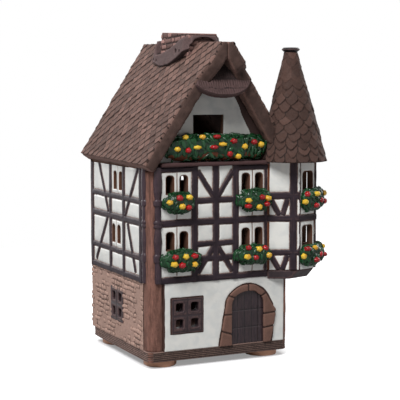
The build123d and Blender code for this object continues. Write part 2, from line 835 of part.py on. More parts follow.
def build():
    left_slab = roof_slab("left")
    right_slab = roof_slab("right")
    roof = [left_slab, right_slab]
    cone = cone_outside()
    turret_body = turret_prism(turret_plan(-timber_proud), turret_bottom_z, turret_top_z)

    def trimmed(shape, *cutters):
        for cutter in cutters:
            shape -= cutter
        return shape

    nodes = {"base_plate": base_plate()}
    for name, sx, sy in (("front_left", -1, -1), ("front_right", 1, -1), ("back_left", -1, 1),
                         ("back_right", 1, 1)):
        nodes["foot_" + name] = foot(sx, sy)
        nodes["corner_post_" + name] = corner_post(sx, sy, storey_base_z, plain_corner_radius)
    tall_post = corner_post(-1, -1, wall_top_z, clay_corner_radius)
    nodes["corner_post_front_left"] = trimmed(tall_post, *roof)
    for side in ("front", "left", "right", "back"):
        nodes[side + "_wall_lower"] = lower_wall(side)
        nodes[side + "_wall_upper"] = trimmed(upper_wall(side), *roof)
        nodes[side + "_timber_frame"] = trimmed(timber_frame(side), *roof)
    nodes["front_window"] = shutter_window("front", front_shutter_centre)
    nodes["left_window"] = shutter_window("left", side_window_centre("left"))
    nodes["right_window"] = shutter_window("right", side_window_centre("right"))
    nodes["door"] = door()
    nodes["door_surround"] = door_surround()
    nodes["roof_left"] = left_slab - flue()
    nodes["roof_right"] = largest(trimmed(right_slab, flue(), cone, turret_body))
    nodes["front_gable_wall"] = largest(trimmed(gable_wall("front"), *roof, cone))
    nodes["back_gable_wall"] = largest(trimmed(gable_wall("back"), *roof))
    nodes["gable_ledge"] = trimmed(gable_ledge(), *roof, cone, turret_body)
    nodes["gable_hood"] = largest(trimmed(gable_hood(), *roof, nodes["front_gable_wall"]) & roof_envelope())
    nodes["chimney"] = chimney()
    nodes["chimney_collar"] = chimney_strap()
    nodes["turret_wall"] = turret_wall()
    nodes["turret_floor"] = turret_floor()
    nodes["turret_timber_frame"] = turret_timbers()
    nodes["turret_roof"] = cone
    nodes["turret_finial"] = turret_finial()
    nodes["front_flower_boxes_lower"] = front_boxes(0) - turret_body
    nodes["front_flower_boxes_upper"] = front_boxes(1) - turret_body
    nodes["turret_flower_boxes_lower"] = turret_boxes(0)
    nodes["turret_flower_boxes_upper"] = turret_boxes(1)
    nodes["gable_garland"] = largest(trimmed(garland(), *roof, cone))
    return nodes


def main():
    os.makedirs("parts", exist_ok=True)
    for name, shape in build().items():
        export_step(shape, "parts/" + name + ".step")


if __name__ == "__main__":
    main()
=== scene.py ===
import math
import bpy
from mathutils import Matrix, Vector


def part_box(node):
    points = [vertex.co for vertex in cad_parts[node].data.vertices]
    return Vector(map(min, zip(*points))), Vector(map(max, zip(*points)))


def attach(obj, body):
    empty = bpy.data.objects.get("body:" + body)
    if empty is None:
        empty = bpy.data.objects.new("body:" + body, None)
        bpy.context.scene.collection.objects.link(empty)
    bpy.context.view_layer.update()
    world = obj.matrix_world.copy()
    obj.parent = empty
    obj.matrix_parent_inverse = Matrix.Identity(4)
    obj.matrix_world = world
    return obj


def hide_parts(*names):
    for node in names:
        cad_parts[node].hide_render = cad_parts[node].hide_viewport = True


bl_info = {
    "name": "Half-timbered candle house",
    "version": (1, 0, 0),
    "blender": (4, 5, 0),
    "location": "View3D > Sidebar > Candle House",
    "description": "Dresses the packed candle house with glazes, scales, stones, bricks and flowers",
    "category": "Object",
}

import bmesh
import bpy
import numpy as np
from bpy.props import FloatProperty, FloatVectorProperty, IntProperty, PointerProperty
from bpy.types import Operator, Panel, PropertyGroup
from mathutils import Vector

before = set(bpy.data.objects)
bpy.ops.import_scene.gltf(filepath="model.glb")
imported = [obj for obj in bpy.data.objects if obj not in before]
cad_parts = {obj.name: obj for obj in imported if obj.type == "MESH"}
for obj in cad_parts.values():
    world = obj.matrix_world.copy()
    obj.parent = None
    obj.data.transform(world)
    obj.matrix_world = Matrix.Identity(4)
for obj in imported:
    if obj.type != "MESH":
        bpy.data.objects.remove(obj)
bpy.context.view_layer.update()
MM = 0.001  # lengths below are in millimetres
SIDE_DEPTH = 6.0  # how far behind its outermost point a flat side of a node may lie
SHARP_EDGE = 0.22  # how far a point stands out from its neighbours where a skin's edge value is full; clay is pale there, worn and with a painted highlight


# ---------------------------------------------------------------- numbers and fields

def tint(red, green, blue):
    """A display colour from 0 to 255 as the linear colour that shaders take."""
    return tuple(c / 3294.6 if c <= 10 else ((c / 255 + 0.055) / 1.055) ** 2.4 for c in (red, green, blue))


def box_mm(node):
    lo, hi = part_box(node)
    return np.array(lo) / MM, np.array(hi) / MM


def soft_step(low, high, x):
    t = np.clip((x - low) / (high - low), 0, 1)
    return t * t * (3 - 2 * t)


def cell_value(cells, seed):
    """A repeatable value from 0 to 1 for each whole-numbered cell."""
    cells = np.asarray(cells).astype(np.int64)
    mixed = np.full(cells.shape[:-1], seed * 668265263 + 374761393, dtype=np.int64)
    for axis, prime in zip(range(cells.shape[-1]), (73856093, 19349663, 83492791)):
        mixed = mixed ^ (cells[..., axis] * prime)
    mixed = (mixed ^ (mixed >> 13)) & 0x7FFFFFFF
    mixed = (mixed * 1274126177) & 0x7FFFFFFF
    return ((mixed ^ (mixed >> 15)) & 0xFFFFF) / 0xFFFFF


def noise(points, size, seed=0):
    """Smooth noise from -1 to 1, with cells of the given size."""
    p = np.asarray(points, float) / size
    cell = np.floor(p)
    t = p - cell
    t = t * t * (3 - 2 * t)
    total = np.zeros(p.shape[:-1])
    for corner in np.ndindex(*(2,) * p.shape[-1]):
        weight = np.ones(p.shape[:-1])
        for axis, up in enumerate(corner):
            weight = weight * (t[..., axis] if up else 1 - t[..., axis])
        total += weight * cell_value(cell + np.array(corner), seed)
    return 2 * total - 1


def ripple(points, size, seed=0):
    """Two octaves of noise."""
    return 0.7 * noise(points, size, seed) + 0.3 * noise(points, size * 0.45, seed + 7)


def rectangle_field(u, v, u0, u1, v0, v1, corner=0.0):
    """Distance to a rectangle with rounded corners, negative inside."""
    du = np.abs(u - (u0 + u1) / 2) - (u1 - u0) / 2 + corner
    dv = np.abs(v - (v0 + v1) / 2) - (v1 - v0) / 2 + corner
    return np.hypot(np.maximum(du, 0), np.maximum(dv, 0)) + np.minimum(np.maximum(du, dv), 0) - corner


def arch_field(u, v, middle, half, base, spring, rise):
    """Distance to an opening with an elliptic head, negative inside."""
    head = (np.hypot((u - middle) / half, np.maximum(v - spring, 0) / rise) - 1) * min(half, rise)
    return np.where(v > spring, head, np.maximum(np.abs(u - middle) - half, base - v))


def beam_field(u, v, start, end, width):
    """Distance to a straight timber, positive inside, and the place along it."""
    du, dv = end[0] - start[0], end[1] - start[1]
    length = math.hypot(du, dv)
    along = ((u - start[0]) * du + (v - start[1]) * dv) / length
    across = ((v - start[1]) * du - (u - start[0]) * dv) / length
    over_end = np.maximum(-along, along - length)
    over_side = np.abs(across) - width / 2
    distance = np.hypot(np.maximum(over_end, 0), np.maximum(over_side, 0))
    distance = distance + np.minimum(np.maximum(over_end, over_side), 0)
    return -distance, along, across


# ---------------------------------------------------------------- mesh makers

def read(items, key, width=3, kind=float):
    """One property of many mesh items as an array with a row for each."""
    values = np.empty(len(items) * width, kind)
    items.foreach_get(key, values)
    return values.reshape(-1, width)


def store(mesh, name, values):
    layer = mesh.attributes.new(name, "FLOAT", "POINT")
    layer.data.foreach_set("value", np.ascontiguousarray(values, dtype=np.float32))


def dress(mesh, attributes, material):
    """Gives a mesh its vertex values and its one material, and shades it smooth."""
    for key, values in attributes.items():
        store(mesh, key, values)
    mesh.materials.clear()
    mesh.materials.append(material)
    mesh.polygons.foreach_set("use_smooth", np.ones(len(mesh.polygons), bool))
    mesh.polygons.foreach_set("material_index", np.zeros(len(mesh.polygons), int))
    mesh.update()


def make_piece(name, points_mm, faces, attributes, material, replaced=()):
    """A finished piece: mesh, vertex values, material, and its place on the body."""
    mesh = bpy.data.meshes.new(name)
    mesh.from_pydata((np.asarray(points_mm) * MM).tolist(), [], faces)
    dress(mesh, attributes, material)
    return place(bpy.data.objects.new(name, mesh), replaced)


def place(obj, replaced=()):
    """Puts a piece in the scene, hangs it on the root body and hides the nodes that it stands for."""
    if obj.name not in bpy.context.scene.collection.objects:
        bpy.context.scene.collection.objects.link(obj)
    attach(obj, "root")
    if replaced:
        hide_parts(*replaced)
    return obj


class Face:
    """A flat face of the house: u runs to the right as seen from outside, v upwards, height outwards."""

    def __init__(self, origin, right, up, out):
        self.origin, self.right = np.array(origin, float), np.array(right, float)
        self.up, self.out = np.array(up, float), np.array(out, float)

    def points(self, u, v, height):
        return self.origin + u[..., None] * self.right + v[..., None] * self.up + height[..., None] * self.out


def relief(name, face, u_span, v_span, step, field, material, cut=None, skirt=1.0, replaced=(),
           warp=None, v_step=None):
    """A modelled skin over a face, or laid out by warp, with a skirt round its rim.

    field gives its height and vertex values; cut is negative where it is left out, and its grid is drawn to
    the line where cut is 0.
    """
    lay = warp or face.points
    nu = max(2, int(round((u_span[1] - u_span[0]) / step)))
    nv = max(2, int(round((v_span[1] - v_span[0]) / (v_step or step))))
    u, v = np.meshgrid(np.linspace(*u_span, nu + 1), np.linspace(*v_span, nv + 1), indexing="ij")
    keep = np.ones((nu, nv), bool)
    if cut is not None:
        small = step * 0.05
        distance = cut(u, v)
        gu = (cut(u + small, v) - cut(u - small, v)) / (2 * small)
        gv = (cut(u, v + small) - cut(u, v - small)) / (2 * small)
        length = np.maximum(np.hypot(gu, gv), 0.2)
        move = np.where(np.abs(distance) < 0.62 * step, -distance / length, 0)
        u, v = u + move * gu / length, v + move * gv / length
        outside = cut(u, v) > -0.12 * step
        keep = outside[:-1, :-1] & outside[1:, :-1] & outside[:-1, 1:] & outside[1:, 1:]
    height, values = field(u, v)
    index = np.arange((nu + 1) * (nv + 1)).reshape(nu + 1, nv + 1)
    quads = np.stack([index[:-1, :-1], index[1:, :-1], index[1:, 1:], index[:-1, 1:]], -1)[keep]
    edges = np.concatenate([quads[:, [a, b]] for a, b in ((0, 1), (1, 2), (2, 3), (3, 0))])
    rim = edges[met_once(edges)]
    rim_points = np.unique(rim)
    below = {int(p): index.size + k for k, p in enumerate(rim_points)}
    skirts = [[b, a, below[int(a)], below[int(b)]] for a, b in rim]
    quads = np.concatenate([quads, np.array(skirts, int).reshape(-1, 4)])
    points = lay(u, v, height).reshape(-1, 3)
    foot = lay(u, v, np.full(u.shape, -skirt)).reshape(-1, 3)[rim_points]
    values = dict(values, edge=np.clip((height - blurred(height, 2)) / SHARP_EDGE, -1, 1))
    flat = {key: np.broadcast_to(data, u.shape).ravel() for key, data in values.items()}
    used = np.zeros(len(points) + len(foot), bool)
    used[quads.ravel()] = True
    attributes = {key: np.concatenate([data, data[rim_points]])[used] for key, data in flat.items()}
    renumber = np.cumsum(used) - 1
    return make_piece(name, np.concatenate([points, foot])[used], renumber[quads].tolist(), attributes,
                      material, replaced)


def met_once(pairs):
    """Which pairs of numbers stand in the list only once, in either order."""
    _, inverse, count = np.unique(np.sort(pairs, axis=1), axis=0, return_inverse=True, return_counts=True)
    return count[inverse.ravel()] == 1


def blurred(grid, times):
    """A grid of heights, evened out with its four neighbours."""
    out = grid
    for _ in range(times):
        wide = np.pad(out, 1, mode="edge")
        out = (wide[:-2, 1:-1] + wide[2:, 1:-1] + wide[1:-1, :-2] + wide[1:-1, 2:] + 2 * out) / 6
    return out


def neighbour_mean(points, edges):
    """For each point, the mean of the points that an edge joins it to."""
    total = np.zeros_like(points)
    count = np.zeros(len(points))
    for a, b in ((0, 1), (1, 0)):
        for axis in range(3):
            total[:, axis] += np.bincount(edges[:, a], points[edges[:, b], axis], len(points))
        count += np.bincount(edges[:, a], minlength=len(points))
    return total / np.maximum(count, 1)[:, None]


def clay_copy(name, node, voxel, material, shape=None, soften=2, wobble=0.25, seed=0, edge_scale=0.1,
              move=None):
    """A hand-modelled copy of a CAD node: remeshed, softened at its edges and slightly uneven."""
    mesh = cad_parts[node].data.copy()
    bm = bmesh.new()
    bm.from_mesh(mesh)
    bmesh.ops.remove_doubles(bm, verts=bm.verts, dist=0.02 * MM)
    bm.to_mesh(mesh)
    bm.free()
    obj = bpy.data.objects.new(name, mesh)
    bpy.context.scene.collection.objects.link(obj)
    remesh = obj.modifiers.new("voxels", "REMESH")
    remesh.mode = "VOXEL"
    remesh.voxel_size = voxel * MM
    fine = bpy.data.meshes.new_from_object(obj.evaluated_get(bpy.context.evaluated_depsgraph_get()))
    obj.modifiers.clear()
    obj.data = fine
    points, edges = read(fine.vertices, "co") / MM, read(fine.edges, "vertices", 2, int)
    for _ in range(soften):
        points = points + 0.5 * (neighbour_mean(points, edges) - points)
    if move is not None:
        points = move(points)
    fine.vertices.foreach_set("co", (points * MM).ravel())
    fine.update()
    normals = read(fine.vertices, "normal")
    values = {"tone": np.zeros(len(points)), "end": soft_step(0.35, 0.8, np.abs(normals[:, 1]))}
    height = wobble * ripple(points, 7.0, seed)
    if shape is not None:
        extra, more = shape(points, normals)
        height = height + extra
        values.update(more)
    points = points + normals * height[:, None]
    points[:, 2] = np.maximum(points[:, 2], 0)  # nothing dips below the table
    mean = neighbour_mean(points, edges)
    for _ in range(2):
        mean = neighbour_mean(mean, edges)
    bend = np.einsum("ij,ij->i", points - mean, normals)
    values["edge"] = np.clip(bend / edge_scale, -1, 1)
    fine.vertices.foreach_set("co", (points * MM).ravel())
    dress(fine, values, material)
    return place(obj, (node,))


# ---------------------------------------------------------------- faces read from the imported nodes

class FlatSide(Face):
    """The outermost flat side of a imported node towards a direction, with its outline."""

    def __init__(self, node, direction):
        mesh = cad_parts[node].data
        mesh.calc_loop_triangles()
        points, triangles = read(mesh.vertices, "co") / MM, read(mesh.loop_triangles, "vertices", 3, int)
        a, b, c = (points[triangles[:, k]] for k in range(3))
        cross = np.cross(b - a, c - a)
        area = np.linalg.norm(cross, axis=1)
        normal = cross / np.maximum(area, 1e-9)[:, None]
        wanted = np.array(direction, float) / np.linalg.norm(direction)
        facing = (normal @ wanted > 0.93) & (area > 1e-6)
        facing &= (a + b + c) @ wanted / 3 > (a[facing] @ wanted).max() - SIDE_DEPTH
        _, kind = np.unique(np.round(normal[facing] * 300), axis=0, return_inverse=True)
        widest = np.argmax(np.bincount(kind.ravel(), area[facing]))
        self.out = normal[facing][kind.ravel() == widest].mean(0)
        self.out /= np.linalg.norm(self.out)
        offset = a @ self.out
        facing &= (normal @ self.out > 0.999)
        top = offset[facing].max()
        chosen = facing & (offset > top - 0.05)
        upwards = np.array((0.0, 0.0, 1.0))
        self.up = upwards - self.out * (upwards @ self.out)
        self.up /= np.linalg.norm(self.up)
        self.right = np.cross(self.up, self.out)
        self.origin = self.out * top
        flat = np.stack([points @ self.right, points @ self.up], -1)
        edges = np.concatenate([triangles[chosen][:, [i, j]] for i, j in ((0, 1), (1, 2), (2, 0))])
        rounded = {}
        near = np.round(flat * 200).astype(int).tolist()
        weld = np.array([rounded.setdefault(tuple(k), i) for i, k in enumerate(near)])
        rim = np.sort(weld[edges], axis=1)
        rim = rim[met_once(rim)]
        rim = rim[rim[:, 0] != rim[:, 1]]
        self.segments = np.concatenate([flat[rim[:, 0]], flat[rim[:, 1]]], axis=1)
        self.low = flat[np.unique(rim)].min(0)
        self.high = flat[np.unique(rim)].max(0)

    def inside(self, u, v):
        """Distance to the outline, positive on the material."""
        nearest = np.full(u.shape, 1e9)
        within = np.zeros(u.shape, bool)
        for u0, v0, u1, v1 in self.segments:
            du, dv = u1 - u0, v1 - v0
            t = np.clip(((u - u0) * du + (v - v0) * dv) / (du * du + dv * dv + 1e-12), 0, 1)
            nearest = np.minimum(nearest, np.hypot(u - u0 - t * du, v - v0 - t * dv))
            if abs(dv) > 1e-9:
                within ^= ((v0 > v) != (v1 > v)) & (u < du * (v - v0) / dv + u0)
        return np.where(within, nearest, -nearest)


# ---------------------------------------------------------------- material kit

class Tree:
    """Short words for building a node tree."""

    def __init__(self, tree):
        self.tree = tree

    def add(self, kind, **settings):
        node = self.tree.nodes.new(kind)
        for key, value in settings.items():
            setattr(node, key, value)
        return node

    def feed(self, socket, value):
        if isinstance(value, bpy.types.NodeSocket):
            self.tree.links.new(value, socket)
        elif value is not None:
            four = hasattr(socket.default_value, "__len__") and len(socket.default_value) == 4
            if four and len(value) == 3:
                value = (*value, 1)
            socket.default_value = value

    def math(self, operation, a, b, clamp=False):
        node = self.add("ShaderNodeMath", operation=operation, use_clamp=clamp)
        for socket, value in zip(node.inputs, (a, b)):
            self.feed(socket, value)
        return node.outputs[0]

    def times(self, a, b):
        return self.math("MULTIPLY", a, b)

    def plus(self, a, b):
        return self.math("ADD", a, b)

    def minus(self, a, b, clamp=False):
        return self.math("SUBTRACT", a, b, clamp)

    def larger(self, a, b):
        return self.math("MAXIMUM", a, b)

    def mix(self, factor, a, b):
        node = self.add("ShaderNodeMix", data_type="RGBA", blend_type="MIX")
        self.feed(node.inputs[0], factor)
        self.feed(node.inputs[6], a)
        self.feed(node.inputs[7], b)
        return node.outputs[2]

    def between(self, value, low, high, start=0.0, end=1.0, smooth=True):
        """Carries a value from one range to another."""
        kind = "SMOOTHSTEP" if smooth else "LINEAR"
        node = self.add("ShaderNodeMapRange", interpolation_type=kind)
        for socket, number in zip(node.inputs, (value, low, high, start, end)):
            self.feed(socket, number)
        return node.outputs[0]

    def place(self, scale=(1, 1, 1)):
        """Places on the object itself, so that a pattern stays with it."""
        coordinates = self.add("ShaderNodeTexCoord")
        node = self.add("ShaderNodeMapping")
        self.feed(node.inputs[0], coordinates.outputs["Object"])
        node.inputs[3].default_value = scale
        return node.outputs[0]

    def noise(self, where, size_mm, detail=2.0, rough=0.55, warp=0.0):
        node = self.add("ShaderNodeTexNoise")
        self.feed(node.inputs["Vector"], where)
        self.feed(node.inputs["Scale"], 1 / (size_mm * MM))
        self.feed(node.inputs["Detail"], detail)
        self.feed(node.inputs["Roughness"], rough)
        self.feed(node.inputs["Distortion"], warp)
        return node.outputs["Fac"]

    def cells(self, where, size_mm):
        node = self.add("ShaderNodeTexVoronoi", feature="F1")
        self.feed(node.inputs["Vector"], where)
        self.feed(node.inputs["Scale"], 1 / (size_mm * MM))
        return node.outputs["Distance"]

    def value_of(self, name):
        """A value kept in the mesh for each point."""
        return self.add("ShaderNodeAttribute", attribute_name=name).outputs["Fac"]


def node_group(name, inputs, outputs, build):
    """A shader node group with named sockets, built once."""
    old = bpy.data.node_groups.get(name)
    if old:
        return old
    tree = bpy.data.node_groups.new(name, "ShaderNodeTree")
    kinds = {"color": "NodeSocketColor", "value": "NodeSocketFloat"}
    for socket, kind, default in inputs:
        made = tree.interface.new_socket(name=socket, in_out="INPUT", socket_type=kinds[kind])
        made.default_value = (*default, 1) if kind == "color" else default
    for socket, kind in outputs:
        tree.interface.new_socket(name=socket, in_out="OUTPUT", socket_type=kinds[kind])
    kit = Tree(tree)
    source, sink = kit.add("NodeGroupInput"), kit.add("NodeGroupOutput")
    for socket, value in build(kit, source.outputs).items():
        kit.feed(sink.inputs[socket], value)
    return tree


def clay_body_group():
    """Fired clay: mottled by the fire, grainy, with painted shade in its hollows, darker where its End value
    is set (painted shade on most pieces), and pale on worn edges, which also paints highlights.
    """
    def build(kit, given):
        where = kit.place()
        cloud = kit.between(kit.noise(where, 13, 3, 0.6, 0.4), 0.3, 0.7)
        patch = kit.between(kit.noise(where, 3.2, 3, 0.65), 0.36, 0.68)
        grain = kit.noise(where, 1.1, 3, 0.75)
        amount = kit.times(kit.plus(kit.times(cloud, 0.6), kit.times(patch, 0.4)), given["Mottling"])
        color = kit.mix(amount, given["Color"], given["Pale"])
        speck = kit.between(kit.cells(where, 2.3), 0.10, 0.2, 1, 0)
        speck = kit.times(speck, kit.between(kit.noise(where, 5, 1), 0.5, 0.62))
        color = kit.mix(kit.times(speck, given["Specks"]), color, given["Dark"])
        hollow = kit.between(given["Edge"], -0.1, -0.9)
        color = kit.mix(kit.times(hollow, given["Hollow Shade"]), color, given["Dark"])
        # pale on worn edges, which also paints highlights on edges and on the tips of scales
        worn_and_highlit = kit.times(kit.between(given["Edge"], 0.15, 0.9), kit.between(grain, 0.3, 0.6))
        color = kit.mix(kit.times(worn_and_highlit, given["Rubbed Edges"]), color, given["Pale"])
        color = kit.mix(kit.between(grain, 0.35, 0.75, 0, 0.36), color, given["Dark"])
        # End darkens the clay: painted shade under the hood's beak, in and under the strap, below the strap
        # and on the plate's sides; plain darkening on corner posts and slab ends
        shade_and_darkening = kit.times(given["End"], kit.between(kit.noise(where, 6, 2), 0.2, 0.6, 0.75, 1.0))
        color = kit.mix(kit.times(shade_and_darkening, given["End Wash"]), color, given["Dark"])
        rough = kit.between(patch, 0, 1, 0.78, 0.92)
        height = kit.plus(kit.times(grain, 0.6), kit.times(patch, 0.5))
        return {"Color": color, "Roughness": rough, "Height": height}
    inputs = (("Color", "color", (0.2, 0.12, 0.1)), ("Pale", "color", (0.4, 0.3, 0.25)),
              ("Dark", "color", (0.05, 0.03, 0.03)), ("Edge", "value", 0.0), ("Mottling", "value", 0.5),
              ("Specks", "value", 0.4), ("Hollow Shade", "value", 0.8), ("Rubbed Edges", "value", 0.5),
              ("End", "value", 0.0), ("End Wash", "value", 0.0))
    return node_group("Fired clay", inputs, (("Color", "color"), ("Roughness", "value"), ("Height", "value")),
                      build)


def glaze_group():
    """Poured glaze: thin and brown over edges, pooled in patches, with a few pinholes."""
    def build(kit, given):
        where = kit.place()
        pool = kit.between(kit.noise(where, 7, 2, 0.5, 0.3), 0.35, 0.7)
        color = kit.mix(kit.times(pool, given["Pooling"]), given["Color"], given["Deep"])
        frayed = kit.between(kit.noise(where, 2.4, 2), 0.3, 0.7, -0.25, 0.25)
        thin = kit.between(kit.plus(given["Edge"], frayed), 0.35, 0.95)
        color = kit.mix(kit.times(thin, given["Thin Edges"]), color, given["Body"])
        pin = kit.between(kit.cells(where, 6.5), 0.03, 0.055, 1, 0)
        pin = kit.times(pin, kit.between(kit.noise(where, 9, 1), 0.55, 0.6))
        pin = kit.times(pin, given["Pinholes"])
        color = kit.mix(pin, color, given["Body"])
        wave = kit.noise(where, 4.2, 1, 0.4)
        rough = kit.plus(kit.between(kit.noise(where, 2.0, 2), 0.3, 0.7, 0.0, 0.1), kit.times(thin, 0.25))
        height = kit.minus(kit.times(wave, 0.5), kit.times(pin, 0.6))
        coat = kit.minus(given["Gloss"], kit.times(thin, 0.6), clamp=True)
        return {"Color": color, "Roughness": rough, "Height": height, "Coat": coat}
    inputs = (("Color", "color", (0.7, 0.7, 0.68)), ("Deep", "color", (0.6, 0.6, 0.58)),
              ("Body", "color", (0.15, 0.08, 0.05)), ("Edge", "value", 0.0), ("Pooling", "value", 0.5),
              ("Thin Edges", "value", 0.5), ("Pinholes", "value", 0.3), ("Gloss", "value", 0.6))
    outputs = (("Color", "color"), ("Roughness", "value"), ("Height", "value"), ("Coat", "value"))
    return node_group("Poured glaze", inputs, outputs, build)


def line_group():
    """A band of given width beside a modelled boundary, from the boundary distance kept in the mesh."""
    def build(kit, given):
        where = kit.place()
        shake = kit.between(kit.noise(where, 1.6, 2), 0.25, 0.75, -0.12, 0.12)
        seam = kit.plus(given["Distance"], shake)
        upper = kit.between(seam, kit.plus(given["Middle"], kit.times(given["Width"], 0.5)),
                            kit.plus(given["Middle"], kit.times(given["Width"], 0.8)), 1, 0)
        lower = kit.between(seam, kit.minus(given["Middle"], kit.times(given["Width"], 0.8)),
                            kit.minus(given["Middle"], kit.times(given["Width"], 0.5)))
        above = kit.between(seam, kit.minus(given["Middle"], 0.12), kit.plus(given["Middle"], 0.12))
        return {"Band": kit.times(upper, lower), "Above": above}
    inputs = (("Distance", "value", 0.0), ("Middle", "value", 0.0), ("Width", "value", 0.5))
    return node_group("Modelled line", inputs, (("Band", "value"), ("Above", "value")), build)


def streak_group():
    """Brushed streaks that run up and down."""
    def build(kit, given):
        where = kit.place((1, 1, 0.12))
        fine = kit.noise(where, 0.7, 3, 0.6, 0.3)
        broad = kit.noise(where, 2.2, 2, 0.5)
        both = kit.plus(kit.times(fine, 0.55), kit.times(broad, 0.45))
        return {"Streaks": kit.between(both, 0.36, 0.64)}
    return node_group("Brushed streaks", (), (("Streaks", "value"),), build)


class Finish:
    """One material: a Principled shader fed by groups."""

    def __init__(self, name, specular=0.5, coat_rough=0.12):
        self.material = bpy.data.materials.new(name)
        self.material.use_nodes = True
        self.kit = Tree(self.material.node_tree)
        self.shader = self.material.node_tree.nodes["Principled BSDF"]
        self.shader.inputs["Specular IOR Level"].default_value = specular
        self.shader.inputs["Coat Roughness"].default_value = coat_rough

    def group(self, tree, **values):
        node = self.kit.add("ShaderNodeGroup", node_tree=tree)
        for key, value in values.items():
            self.kit.feed(node.inputs[key.replace("_", " ")], value)
        return node.outputs

    def finish(self, color, rough, height=None, bump_mm=0.1, coat=None):
        self.kit.feed(self.shader.inputs["Base Color"], color)
        self.kit.feed(self.shader.inputs["Roughness"], rough)
        if coat is not None:
            self.kit.feed(self.shader.inputs["Coat Weight"], coat)
        if height is not None:
            bump = self.kit.add("ShaderNodeBump")
            bump.inputs["Distance"].default_value = bump_mm * MM
            bump.inputs["Strength"].default_value = 1.0
            self.kit.feed(bump.inputs["Height"], height)
            self.kit.feed(self.shader.inputs["Normal"], bump.outputs[0])
        return self.material


def clay_finish(name, color, pale, dark, bump_mm=0.12, specular=0.25, streaked=0.0, **amounts):
    """A bare clay material, with upright streaks where a tool was drawn down."""
    f = Finish(name, specular)
    clay = f.group(clay_body_group(), Color=color, Pale=pale, Dark=dark, Edge=f.kit.value_of("edge"),
                   End=f.kit.value_of("end"), **amounts)
    shown, height = clay["Color"], clay["Height"]
    if streaked:
        drawn = f.group(streak_group())
        shown = f.kit.mix(f.kit.times(f.kit.minus(1.0, drawn["Streaks"]), streaked), shown, dark)
        height = f.kit.plus(height, drawn["Streaks"])
    return f.finish(shown, clay["Roughness"], height, bump_mm)


def toned_clay_finish(name, color, pale, dark, line, tones=0.6, bump_mm=0.12, specular=0.25, width=0.55,
                      **amounts):
    """Clay marked into stones, bricks or scales: each has its own tone, and a dark line runs round it."""
    f = Finish(name, specular)
    clay = f.group(clay_body_group(), Color=color, Pale=pale, Dark=dark, Edge=f.kit.value_of("edge"),
                   End=f.kit.value_of("end"), **amounts)
    tone = f.kit.value_of("tone")
    body = f.kit.mix(f.kit.times(f.kit.between(tone, 0.55, 1.0), tones), clay["Color"], pale)
    body = f.kit.mix(f.kit.times(f.kit.between(tone, 0.45, 0.0), tones), body, dark)
    edge = f.group(line_group(), Distance=f.kit.value_of("seam"), Middle=0.0, Width=width)
    color = f.kit.mix(f.kit.times(edge["Band"], 0.85), body, line)
    return f.finish(color, clay["Roughness"], clay["Height"], bump_mm)


def glaze_finish(name, color, deep, body, rough=0.2, bump_mm=0.15, specular=0.2, streaked=0.0, **amounts):
    """A glazed material, streaked along the clay below it where it was brushed."""
    f = Finish(name, specular)
    glaze = f.group(glaze_group(), Color=color, Deep=deep, Body=body, Edge=f.kit.value_of("edge"), **amounts)
    shown = glaze["Color"]
    if streaked:
        brushed = f.group(streak_group())
        shown = f.kit.mix(f.kit.times(brushed["Streaks"], streaked), shown, body)
    return f.finish(shown, f.kit.plus(glaze["Roughness"], rough), glaze["Height"], bump_mm, glaze["Coat"])


# ---------------------------------------------------------------- the timber walls

FOOT, HEAD = box_mm("front_wall_upper")[0][2], box_mm("front_wall_upper")[1][2]
BEAM = 4.8
THIN_BEAM = 3.6
RAILS = {"bottom": (FOOT, FOOT + 4.6), "bay low": (FOOT + 14.4, FOOT + 18.6), "low": (FOOT + 16, FOOT + 20),
         "bay upper": (FOOT + 25.4, FOOT + 29.2), "middle": (FOOT + 41, FOOT + 45.6),
         "high": (FOOT + 56.6, FOOT + 60.6), "top": (HEAD - THIN_BEAM, HEAD)}
STOREYS = ((RAILS["bottom"][1], RAILS["middle"][0]), (RAILS["middle"][1], RAILS["top"][0]))


def upright(u, width=BEAM, foot=FOOT, head=HEAD):
    """A post: each timber is its start, its end and its width."""
    return (u, foot - 1), (u, head + 1), width


def level(u0, u1, band):
    """A rail that fills a band between two heights."""
    return (u0, (band[0] + band[1]) / 2), (u1, (band[0] + band[1]) / 2), band[1] - band[0]


def slant(u0, v0, u1, v1):
    """A brace."""
    return (u0, v0), (u1, v1), THIN_BEAM


def between_lights(middles):
    """The upright scored line between the two lights of each pair, on both storeys."""
    return [((middle, base), (middle, top)) for middle in middles for base, top in STOREYS]


def bay(a, b, c):
    """Four braces that meet on the middle post b of a bay between the posts a and c."""
    lean, head, high, low, foot = BEAM / 2, RAILS["top"][0], RAILS["high"][1], RAILS["bay upper"][0], FOOT + 6
    return [slant(a + lean, head, b - 1.4, high), slant(c - lean, head, b + 1.4, high),
            slant(b - 1.4, low, a + lean, foot), slant(b + 1.4, low, c - lean, foot)]


